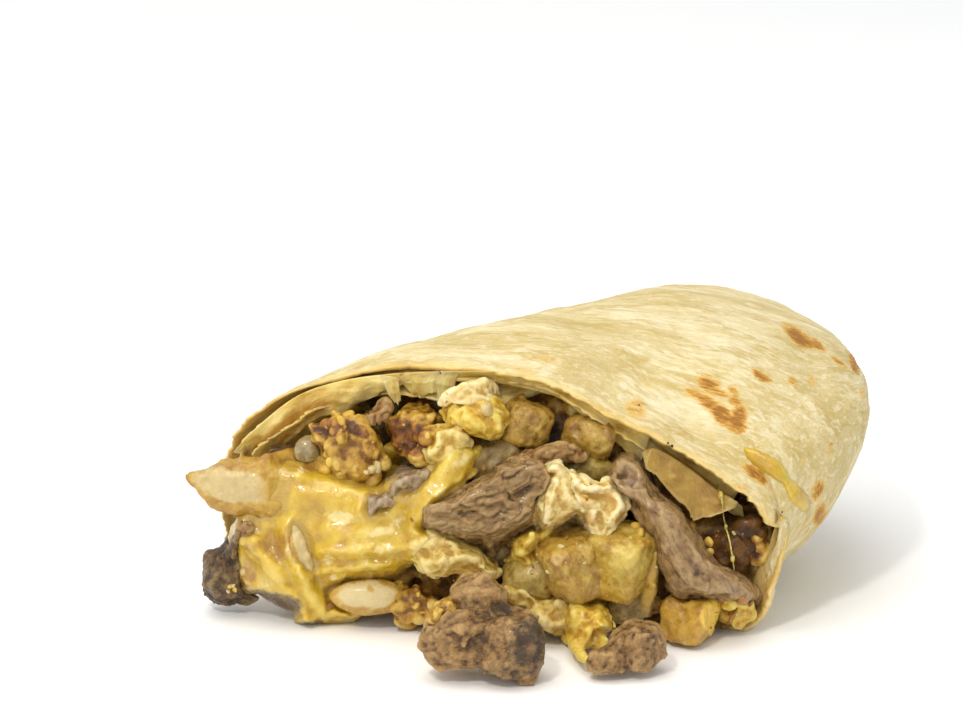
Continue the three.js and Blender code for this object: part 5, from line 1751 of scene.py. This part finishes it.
POTATO_MARKS = {
    "fry_wedge_left": {
        "cut": [(236, 487, 44, 18, 12, 1.3)],
        "cheesy": [(294, 492, 36, 30, 0, 1.2), (262, 464, 24, 5, 0, 0.5), (255, 508, 20, 5, 20, 0.7)],
    },
    "potato_sliver_left": {"cut": [(303, 548, 30, 7, 68, 1.2)]},
    "potato_cube_right": {"cut": [(714, 616, 24, 14, 90, 1.2)]},
    "potato_big_right": {"cut": [(628, 562, 26, 22, 20, 0.8)], "cheesy": [(605, 590, 24, 12, 20, 0.6)]},
    "potato_slab_right": {"cheesy": [(648, 570, 44, 9, 90, 1.2)]},
    "potato_big_left": {"cheesy": [(560, 545, 20, 12, 0, 0.6), (570, 590, 24, 8, 10, 0.5)]},
    "potato_pale_front": {
        "cut": [(368, 595, 30, 15, 2, 1.5)],
        "cheesy": [
            (322, 598, 12, 12, 0, 1.1), (404, 600, 10, 12, 0, 0.9), (366, 618, 40, 6, 0, 0.9),
            (372, 588, 5, 5, 0, 1.0),
        ],
    },
    "potato_top_middle": {"cheesy": [(505, 440, 20, 10, 0, 0.9)]},
}


class BURRITO_OT_potato(bpy.types.Operator):
    """Dices and fries the potato"""

    bl_idname = "burrito.potato"
    bl_label = "Potato"

    def execute(self, context):
        finishes = {kind: potato_finish(*given) for kind, given in POTATO_FINISHES.items()}
        for seed, (node, kind, cubes) in enumerate(POTATO, POTATO_SEED):
            forms = [dice(seat(x, y, size[1], 1.2), size, turn, seed + k, corner, CUBE_STEPS)
                     for k, ((x, y), size, turn, corner) in enumerate(cubes)]
            crusted = bool(cubes) and kind != "pale"
            relief = smooth_relief if kind == "pale" else potato_relief
            crumbs = POTATO_SHRED_CRUMBS if kind == "brown" else POTATO_CRUMBS if crusted else None
            if node == "fry_wedge_left":
                forms = [laid(*WEDGE_SKIN)]
            dressed(node + "_fried", [node], relief, finishes[kind], seed, fineness=0.38, soften=1,
                    forms=forms, own=bool(cubes), crumbs=crumbs, marks=POTATO_MARKS.get(node))
        return {"FINISHED"}


# Scrambled egg: node and finish.
EGG = [
    ("egg_yellow_small", "yellow"),
    ("egg_orange_low", "yellow"),
    ("egg_ragged_low", "mixed"),
    ("egg_ragged_middle", "mixed"),
    ("egg_yellow_top", "yellow"),
    ("egg_column", "mixed"),
    ("egg_bits_right", "yellow"),
]
EGG_SEED = 600
EGG_WHITE_SEED = 620
EGG_FOLD_SEED = 630
# Lumps of egg_bits_right: view position and radius.
EGG_BIT_LUMPS = [(735, 610, 1.8), (742, 616, 1.6), (728, 603, 1.6), (744, 605, 1.4)]
EGG_BIT_CRUMBS = (0.09, 0.5, 1.7, 4)
CURD_CRUMBS = (0.03, 0.4, 1.0, 4)
CURD_DRAPE = dict(back=3.6, step=1.0, wander=0.8, crisp=3.5, tuck=0.4, gap=3.0, reach=4.0, near=5.0)
WHITE_FILM = 0.7
WHITE_DRAPE = dict(back=1.5, step=0.8, wander=0.45, crisp=1.5, tuck=0.2)
# Colours: deep in the folds (painted shade), middle, pale on the crests (partly painted light), and flecks.
EGG_FINISHES = {
    "white": ("egg_white", (196, 160, 80), (232, 210, 142), (244, 230, 184), (222, 184, 92)),
    "yellow": ("egg_yolk", (176, 128, 30), (212, 174, 58), (228, 204, 102), (236, 220, 150)),
    "mixed": ("egg_mixed", (176, 136, 54), (212, 182, 90), (232, 212, 144), (216, 178, 62)),
}
# Whites as draped sheets: outline, folds as streams, and thin spots.
EGG_DRAPES = {
    "egg_white_left": (
        [
            (541, 468), (545, 465), (556, 464), (563, 470), (568, 480), (571, 491), (577, 500), (585, 508),
            (582, 515), (572, 516), (560, 521), (550, 527), (542, 533), (536, 524), (532, 511), (536, 502),
            (544, 494), (548, 486), (546, 479), (541, 475),
        ],
        [
            ([(546, 470), (554, 467), (560, 472)], 5, 1.6),
            ([(556, 480), (553, 496), (545, 524)], 4, 1.3),
            ([(563, 480), (568, 496), (582, 510)], 4, 1.1),
            ([(540, 508), (548, 518)], 4, 0.7),
        ],
        [(552, 475, 5, 3, 0, 0.4), (561, 504, 9, 4, 40, 0.3)],
    ),
    "egg_white_right": (
        [
            (572, 472), (577, 481), (583, 478), (592, 484), (603, 487), (608, 481), (612, 489), (621, 495),
            (625, 510), (616, 521), (607, 529), (601, 538), (599, 554), (587, 549), (575, 548), (578, 538),
            (583, 533), (581, 523), (570, 527), (565, 521), (574, 516), (579, 506), (576, 494), (571, 485),
        ],
        [
            ([(574, 476), (580, 486), (596, 489), (610, 487)], 3, 1.4),
            ([(620, 497), (621, 508), (608, 522)], 4, 1.4),
            ([(580, 500), (594, 506), (604, 514)], 4, 1.2),
            ([(594, 512), (588, 530), (592, 548)], 5, 1.3),
            ([(568, 522), (578, 519)], 3, 0.9),
            ([(580, 544), (594, 550)], 4, 1.0),
        ],
        [(600, 497, 10, 4, 10, 0.3), (584, 512, 6, 3, 30, 0.4), (601, 527, 3, 5, 10, 0.4)],
    ),
}
# Folded whites as sweeps: view positions, width and depth.
EGG_SHEETS = {
    "egg_white_top": [
        (
            [(438, 405), (452, 396), (468, 391), (486, 388), (500, 395)],
            [1.8, 3.0, 3.6, 3.4, 2.4],
            [1.4, 2.4, 2.8, 2.4, 1.6],
        ),
        ([(452, 402), (470, 399), (490, 400)], [1.6, 2.4, 2.0], [1.2, 1.6, 1.2]),
    ],
}
# Yellow egg as draped curds: outline, thickness and streams.
CURD_DRAPES = {
    "egg_column": (
        [
            (435, 429), (442, 426), (451, 425), (458, 429), (466, 437), (468, 446), (460, 453), (457, 461),
            (445, 465), (432, 462), (425, 457), (425, 450), (431, 445), (436, 437),
        ],
        1.2,
        [
            ([(440, 431), (436, 448), (430, 456)], 4, 1.3),
            ([(452, 430), (457, 446)], 5, 1.2),
            ([(445, 444), (450, 458)], 4, 0.9),
        ],
    ),
    "egg_yellow_top": (
        [
            (447, 411), (456, 405), (470, 402), (485, 401), (497, 401), (503, 408), (506, 417), (506, 427),
            (501, 435), (494, 440), (481, 436), (466, 431), (455, 427), (447, 420),
        ],
        1.4,
        [([(486, 408), (496, 412), (500, 428)], 5, 1.4), ([(456, 416), (470, 420), (486, 430)], 6, 1.0)],
    ),
    "egg_yellow_small": (
        [
            (517, 545), (526, 536), (538, 531), (551, 529), (554, 538), (545, 547), (543, 560), (532, 566),
            (520, 563), (508, 560), (514, 553),
        ],
        1.2,
        [([(522, 544), (536, 538), (548, 534)], 5, 1.4), ([(516, 557), (534, 560)], 5, 0.9)],
    ),
    "egg_orange_low": (
        [
            (565, 618), (570, 606), (575, 598), (582, 599), (587, 605), (596, 604), (603, 608), (608, 614),
            (612, 624), (606, 631), (600, 636), (590, 642), (580, 644), (567, 641), (563, 632),
        ],
        1.6,
        [
            ([(574, 604), (573, 625), (582, 655)], 5, 1.2),
            ([(598, 608), (600, 624)], 5, 1.5),
            ([(584, 612), (588, 630)], 3, 0.8),
        ],
    ),
    "egg_ragged_low": (
        [
            (503, 587), (515, 586), (528, 589), (538, 597), (548, 601), (558, 599), (568, 596), (569, 612),
            (566, 627), (557, 634), (547, 631), (537, 624), (530, 616), (530, 606), (521, 601), (508, 595),
        ],
        1.3,
        [
            ([(508, 590), (526, 594), (536, 606)], 4, 1.2),
            ([(538, 612), (548, 624), (560, 626)], 5, 1.6),
            ([(548, 606), (562, 604)], 4, 0.8),
        ],
    ),
    "egg_ragged_middle": (
        [
            (418, 541), (426, 533), (440, 534), (452, 538), (466, 547), (480, 553), (490, 564), (501, 573),
            (488, 579), (470, 578), (452, 572), (440, 576), (424, 571), (414, 561), (407, 550),
        ],
        1.3,
        [
            ([(420, 546), (438, 540), (456, 546)], 5, 1.4),
            ([(458, 556), (476, 560), (494, 572)], 5, 1.6),
            ([(420, 562), (440, 562), (454, 560)], 5, 1.0),
        ],
    ),
}
# Tails as sweeps: positions, width and depth.
EGG_TAILS = {
    "egg_orange_low": [
        ([(571, 632), (576, 645), (582, 656), (589, 666)], [4.2, 3.6, 2.6, 1.4], [3.0, 2.6, 2.0, 1.2]),
    ],
}
EGG_MARKS = {
    "yolk": [
        (552, 472, 8, 4, 0, 0.7), (609, 498, 9, 6, 30, 1.3), (590, 500, 12, 8, 20, 0.8),
        (562, 518, 18, 3, -25, 0.7), (586, 520, 8, 6, 0, 0.7), (595, 540, 3, 6, 0, 0.8),
    ],
}


class BURRITO_OT_egg(bpy.types.Operator):
    """Scrambles the egg: torn white sheets and yellow curds"""

    bl_idname = "burrito.egg"
    bl_label = "Egg"

    def execute(self, context):
        finishes = {kind: egg_finish(*given) for kind, given in EGG_FINISHES.items()}
        for seed, (node, kind) in enumerate(EGG, EGG_SEED):
            if node in CURD_DRAPES:
                skin, _ = draped(*CURD_DRAPES[node], **CURD_DRAPE)
                tails = [laid(*tail, 0.4) for tail in EGG_TAILS.get(node, [])]
                forms, crumbs = [skin, shrunk(node, 1.2), *tails], CURD_CRUMBS
            else:
                forms, crumbs = lumps(EGG_BIT_LUMPS, seed), EGG_BIT_CRUMBS
            dressed(node + "_curds", [node], curd_relief, finishes[kind], seed, fineness=0.34,
                    soften=1,
                    forms=forms, crumbs=crumbs, own=node in CURD_DRAPES)
        for seed, (node, (corners, streams, thin)) in enumerate(EGG_DRAPES.items(), EGG_WHITE_SEED):
            skin, _ = draped(corners, WHITE_FILM, streams, thin, **WHITE_DRAPE)
            dressed(node + "_torn", [node], sheet_relief, finishes["white"], seed, fineness=0.28,
                    soften=1,
                    forms=[skin, shrunk(node, 1.8)], own=True, marks=EGG_MARKS)
        for seed, (node, sheets) in enumerate(EGG_SHEETS.items(), EGG_FOLD_SEED):
            folds = [laid(*fold, 0.25, corner=3.0) for fold in sheets]
            dressed(node + "_torn", [node], sheet_relief, finishes["white"], seed, fineness=0.3,
                    soften=1,
                    forms=[shrunk(node, 2.4), *folds], own=True)
        return {"FINISHED"}


# Hash brown: node, and lumps as view position and radius.
HASH = [
    (
        "hash_crust_low",
        [
            (398, 592, 2.4), (412, 600, 2.8), (428, 608, 2.8), (440, 598, 2.4), (420, 590, 2.2),
            (405, 612, 2.2), (436, 618, 2.2), (448, 610, 2.0),
        ],
    ),
    (
        "hash_left",
        [
            (318, 424, 1.8), (313, 432, 1.5), (322, 436, 2.0), (384, 456, 1.8), (327, 426, 2.2),
            (342, 430, 2.4), (357, 430, 2.6), (366, 437, 2.0), (333, 446, 2.2), (350, 448, 3.0),
            (366, 452, 2.8), (376, 463, 2.2), (340, 463, 2.4), (357, 467, 3.0), (335, 476, 1.8),
            (350, 478, 2.2), (366, 474, 2.2), (380, 474, 1.6),
        ],
    ),
    (
        "hash_middle",
        [
            (397, 424, 2.4), (408, 420, 2.6), (420, 427, 2.8), (428, 438, 2.2), (405, 440, 2.8),
            (415, 448, 2.4), (400, 452, 1.8), (422, 455, 1.8),
        ],
    ),
    ("hash_inner_right", [(745, 530, 2.4), (755, 538, 2.2), (748, 547, 2.4), (757, 556, 2.0)]),
]
HASH_SEED = 700
HASH_CRUMBS = (0.07, 0.5, 1.8, 3.4)
ONION_SEED = 720
ONION_PLACE = (306, 450)
HASH_MARKS = {
    "hash_left": [
        (332, 427, 24, 9, 0, 1.2), (358, 431, 14, 7, 10, 0.9), (316, 460, 8, 8, 0, 0.6),
        (344, 484, 14, 5, 0, 0.7),
    ],
    "hash_middle": [(410, 438, 28, 18, 20, 1.3)],
    "hash_crust_low": [(420, 590, 30, 8, 10, 0.5), (446, 600, 10, 14, 0, 0.4)],
    "hash_inner_right": [(750, 528, 16, 10, 0, 1.0), (752, 550, 12, 14, 0, 0.7)],
}


class BURRITO_OT_hash(bpy.types.Operator):
    """Fries the hash brown lumps and the onion"""

    bl_idname = "burrito.hash"
    bl_label = "Hash brown and onion"

    def execute(self, context):
        crust = hash_finish()
        for seed, (node, spots) in enumerate(HASH, HASH_SEED):
            dressed(node + "_crisp", [node], crisp_relief, crust, seed, fineness=0.36, soften=3,
                    forms=lumps(spots, seed), crumbs=HASH_CRUMBS, marks={"crust": HASH_MARKS[node]})
        clear = potato_finish("clear_onion", (124, 106, 64), (162, 146, 102), (204, 194, 160), (150, 122, 66),
                              (196, 184, 148), wet=0.9)
        dressed("onion_left_soft", ["onion_left"], smooth_relief, clear, ONION_SEED, fineness=0.4,
                forms=[dice(seat(*ONION_PLACE, 5, 1.0), (5.2, 5.0, 4.8), (0, 10, 0), 3, 2.6, 20)])
        return {"FINISHED"}


# Stage sizes and places are in metres.
FLOOR_REACH = 6
FLOOR_DROP = 0.0002
LAMP_AIM = Vector((0, 0, 0.03))
# Lamps: name, place, size and the setting that holds the power.
LAMPS = [
    ("overhead_light", (-0.22, -0.05, 1.0), 0.9, "key_power"),
    ("front_light", (-0.5, -0.9, 0.4), 0.6, "fill_power"),
    ("glint_light", (-0.25, -0.55, 0.75), 0.09, "glint_power"),
]


class BURRITO_OT_stage(bpy.types.Operator):
    """Sets the pale floor, the soft light and the camera"""

    bl_idname = "burrito.stage"
    bl_label = "Stage"

    def execute(self, context):
        look = context.scene.burrito_stage
        scene = context.scene
        floor_finish = Finish("pale_floor")
        grey = floor_finish.noise(300, 2, 0.5)
        colour = floor_finish.shades(grey, [(0.3, look.floor), (0.7, (252, 252, 252))])
        floor_material = floor_finish.done(colour, 0.9, specular=0.1)
        corners = np.array([[-1, -1, 0], [1, -1, 0], [1, 1, 0], [-1, 1, 0]], float) * FLOOR_REACH
        floor_mesh = write_mesh("floor", corners, np.array([[0, 1, 2, 3]]))
        floor_mesh.materials.append(floor_material)
        floor = bpy.data.objects.new("floor", floor_mesh)
        floor.location.z = -FLOOR_DROP
        scene.collection.objects.link(floor)
        floor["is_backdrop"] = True

        world = bpy.data.worlds.new("soft_room")
        scene.world = world
        world.use_nodes = True
        background = world.node_tree.nodes["Background"]
        background.inputs["Color"].default_value = (1, 1, 1, 1)
        background.inputs["Strength"].default_value = look.sky
        for name, place, size, power in LAMPS:
            light = bpy.data.lights.new(name, "AREA")
            light.shape = "DISK"
            light.size = size
            light.energy = getattr(look, power)
            light.color = tint(look.lamp_colour)[:3]
            lamp = bpy.data.objects.new(name, light)
            lamp.location = place
            lamp.rotation_euler = (Vector(place) - LAMP_AIM).to_track_quat("Z", "Y").to_euler()
            scene.collection.objects.link(lamp)

        lens = bpy.data.cameras.new("camera")
        lens.lens = CAMERA_LENS
        lens.sensor_width = SENSOR_WIDTH
        lens.clip_start = 0.01
        camera = bpy.data.objects.new("camera", lens)
        camera.location = CAMERA_PLACE / METRE
        camera.rotation_euler = (math.pi / 2 - CAMERA_ELEVATION, 0, 0)
        scene.collection.objects.link(camera)
        scene.camera = camera
        scene.view_settings.view_transform = "Standard"
        scene.view_settings.look = "None"
        return {"FINISHED"}


# Corners of the part of the view where the filling shows.
MOUTH = [
    (262, 462), (318, 412), (390, 392), (500, 385), (560, 400), (620, 440), (700, 510), (765, 545),
    (760, 600), (700, 640), (600, 655), (520, 640), (440, 625), (330, 615), (262, 590), (238, 530),
]
BIT_COUNT = 200
BIT_SEED = 77
# Crumbs: piece, up to which random draw it is chosen, and finish.
BIT_KINDS = [("egg_bits", 0.5, "yellow"), ("crust_bits", 0.9, "brown"), ("pale_bits", 1.0, "pale")]
# Pieces, by the start of their names, that no crumb lies on.
CLEAN_PIECES = ("steak", "cheese_sheet", "tortilla", "potato_pale", "potato_sliver", "fry_wedge")
# Cheese smeared on the sheet as an outline, the drop on it, and the ends of a thread.
SMEAR = [
    (745, 449), (753, 450), (763, 454), (773, 459), (781, 465), (786, 472), (790, 479), (796, 485),
    (802, 491), (807, 498), (808, 505), (804, 510), (798, 506), (791, 499), (787, 491), (784, 484),
    (778, 480), (771, 475), (763, 470), (755, 464), (748, 457),
]
SMEAR_DROP = (781, 478)
THREAD_ENDS = [(717, 484), (734, 570)]
# Beads on the thread: share of its length and radius.
THREAD_BEADS = [(0.12, 0.5), (0.5, 0.34), (0.86, 0.42)]
THREAD_WIDTH = 0.32
SMEAR_FILM = 0.8
SMEAR_DRAPE = dict(back=1.1, step=1.0, wander=0.1, crisp=2.2, tuck=0.3, reach=9.0)
BIT_FINISHES = {
    "yellow": ("egg_crumb", (176, 124, 36), (214, 172, 62), (230, 200, 104), (232, 214, 150)),
    "brown": ("crust_crumb", (96, 58, 18), (160, 108, 40), (196, 150, 70), (140, 88, 32)),
    "pale": ("pale_crumb", (176, 142, 78), (208, 184, 122), (226, 208, 156), (200, 166, 94)),
}
# Burnt specks on the sheet: view position and radius.
SPECKS = [(672, 446, 0.26), (668, 443, 0.18), (639, 405, 0.16), (782, 512, 0.16)]
# Bits that stand out: view position, radius and kind.
NAMED_BITS = [
    (487, 409, 1.4, "pale_bits"), (352, 408, 1.3, "egg_bits"), (360, 414, 1.4, "egg_bits"),
    (348, 416, 1.2, "egg_bits"), (366, 408, 1.0, "egg_bits"), (341, 421, 1.0, "egg_bits"),
    (371, 469, 1.1, "pale_bits"), (377, 467, 0.9, "pale_bits"), (366, 472, 0.7, "pale_bits"),
    (326, 470, 1.2, "egg_bits"), (330, 462, 1.0, "egg_bits"), (561, 547, 0.9, "pale_bits"),
    (548, 572, 0.5, "pale_bits"), (636, 527, 1.1, "egg_bits"), (640, 533, 0.8, "egg_bits"),
    (709, 543, 0.8, "egg_bits"), (711, 551, 0.6, "egg_bits"), (302, 470, 0.6, "pale_bits"),
    (234, 589, 0.6, "egg_bits"), (230, 586, 0.5, "egg_bits"), (228, 590, 0.45, "pale_bits"),
    (233, 585, 0.4, "pale_bits"), (742, 600, 0.7, "crust_bits"), (750, 604, 0.6, "crust_bits"),
    (732, 618, 0.8, "crust_bits"), (726, 612, 0.6, "crust_bits"), (412, 520, 0.4, "crust_bits"),
    (330, 606, 0.8, "crust_bits"), (512, 540, 1.0, "egg_bits"),
]


class BURRITO_OT_bits(bpy.types.Operator):
    """Strews crumbs over the filling, and adds the smear and thread of cheese and the burnt specks"""

    bl_idname = "burrito.bits"
    bl_label = "Crumbs"

    def execute(self, context):
        Sight.look([(points * METRE, quads) for points, quads in
                    [read_mesh(o.data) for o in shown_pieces() if not o.name.startswith(CLEAN_PIECES)]])
        in_front = Sight.tree
        Sight.look_at_pieces()
        chance = np.random.default_rng(BIT_SEED)
        groups = {name: [] for name, _, _ in BIT_KINDS}
        low, high = np.min(MOUTH, 0), np.max(MOUTH, 0)
        while sum(map(len, groups.values())) < BIT_COUNT:
            x, y = chance.uniform(low, high)
            draw, turn, seed = chance.random(), chance.uniform(0, 180, 3), chance.integers(SEEDS)
            radius = lerp(0.13, 0.4, chance.random() ** 2.4)
            size = 2 * radius * chance.uniform(0.6, 1.5, 3)
            found = Sight.hit(x, y)
            if found is None or not inside_of(MOUTH, np.array([x]), np.array([y]))[0]:
                continue
            _, _, _, away = in_front.ray_cast(Vector(CAMERA_PLACE), Vector(sight_line(x, y)))
            if away is None or away > found[2] + 0.01:
                continue
            name = next(name for name, limit, _ in BIT_KINDS if draw < limit)
            centre = found[0] - found[1] * radius * chance.uniform(0, 0.6)
            groups[name].append(dice(centre, size, turn, seed, chance.uniform(2, 4), 4, 1.6))
        for x, y, radius, name in NAMED_BITS:
            size = 2 * radius * chance.uniform(0.75, 1.3, 3)
            turn, seed = chance.uniform(0, 180, 3), chance.integers(SEEDS)
            groups[name].append(dice(seat(x, y, radius, radius), size, turn, seed, 2.6, 7, 1.4))
        melted = bpy.data.materials["melted_cheese"]
        smear, _ = draped(SMEAR, SMEAR_FILM, **SMEAR_DRAPE)
        drop = dice(seat(*SMEAR_DROP, 1.4, 0.9), (2.0, 1.4, 1.8), (0, 0, 20), 5, 2.2, 14)
        points, quads = joined([smear, drop])
        piece("cheese_smear", points, quads, melted, {"height": np.full(len(points), 0.2)})
        top, bottom = [Sight.hit(x, y)[0] + CAMERA_BACK * 0.4 for x, y in THREAD_ENDS]
        path = []
        for t in np.linspace(0, 1, 9):
            place = lerp(top, bottom, t)
            found = Sight.hit(*view_place(place[None])[0])
            behind = np.linalg.norm(place - CAMERA_PLACE) - (found[2] if found else 1e9) + 0.6
            path.append(place + CAMERA_BACK * max(behind, 0.0))
        beads = []
        for t, r in THREAD_BEADS:
            place = curve_through(path, np.array([t]))[0][0]
            beads.append(dice(place, [2 * r, 2 * r, 3.4 * r], (0, 0, 0), 6, 2.2, 10))
        points, quads = joined([sweep(path, THREAD_WIDTH, THREAD_WIDTH, blunt=9), *beads])
        values = {"height": np.full(len(points), 0.9), "cream": np.full(len(points), 0.6)}
        piece("cheese_thread", points, quads, melted, values)
        burnt = egg_finish("burnt_speck", (26, 18, 10), (44, 30, 16), (70, 50, 28), (50, 34, 18))
        points, quads = joined([dice(Sight.hit(x, y)[0], (2 * r, 2 * r, 2 * r), (0, 0, 0), 7, 2.4, 6)
                                for x, y, r in SPECKS])
        piece("burnt_specks", points, quads, burnt)
        finishes = {kind: egg_finish(*given) for kind, given in BIT_FINISHES.items()}
        for name, _, kind in BIT_KINDS:
            points, quads = joined(groups[name])
            piece(name, points, quads, finishes[kind], {"height": np.full(len(points), 0.5)})
        return {"FINISHED"}


OPERATORS = [
    BURRITO_OT_stage,
    BURRITO_OT_wrap,
    BURRITO_OT_filling,
    BURRITO_OT_cheese,
    BURRITO_OT_steak,
    BURRITO_OT_potato,
    BURRITO_OT_egg,
    BURRITO_OT_hash,
    BURRITO_OT_bits,
]


class BURRITO_PT_panel(bpy.types.Panel):
    """Lists the settings and the steps in order"""

    bl_idname = "BURRITO_PT_panel"
    bl_label = "Cut Burrito"
    bl_space_type = "VIEW_3D"
    bl_region_type = "UI"
    bl_category = "Burrito"

    def draw(self, context):
        for settings in (context.scene.burrito_wrap, context.scene.burrito_filling,
                         context.scene.burrito_stage):
            box = self.layout.box()
            for key in settings.__annotations__:
                box.prop(settings, key)
        for operator in OPERATORS:
            self.layout.operator(operator.bl_idname)


CLASSES = [WrapSettings, FillingSettings, StageSettings, *OPERATORS, BURRITO_PT_panel]


def register():
    for item in CLASSES:
        bpy.utils.register_class(item)
    bpy.types.Scene.burrito_wrap = bpy.props.PointerProperty(type=WrapSettings)
    bpy.types.Scene.burrito_filling = bpy.props.PointerProperty(type=FillingSettings)
    bpy.types.Scene.burrito_stage = bpy.props.PointerProperty(type=StageSettings)


def unregister():
    del bpy.types.Scene.burrito_stage
    del bpy.types.Scene.burrito_filling
    del bpy.types.Scene.burrito_wrap
    for item in reversed(CLASSES):
        bpy.utils.unregister_class(item)


def main():
    """Builds everything in order."""
    register()
    Sight.look([solid_mesh(name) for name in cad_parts])
    for operator in OPERATORS:
        group, name = operator.bl_idname.split(".")
        getattr(getattr(bpy.ops, group), name)()


if __name__ == "__main__":
    main()
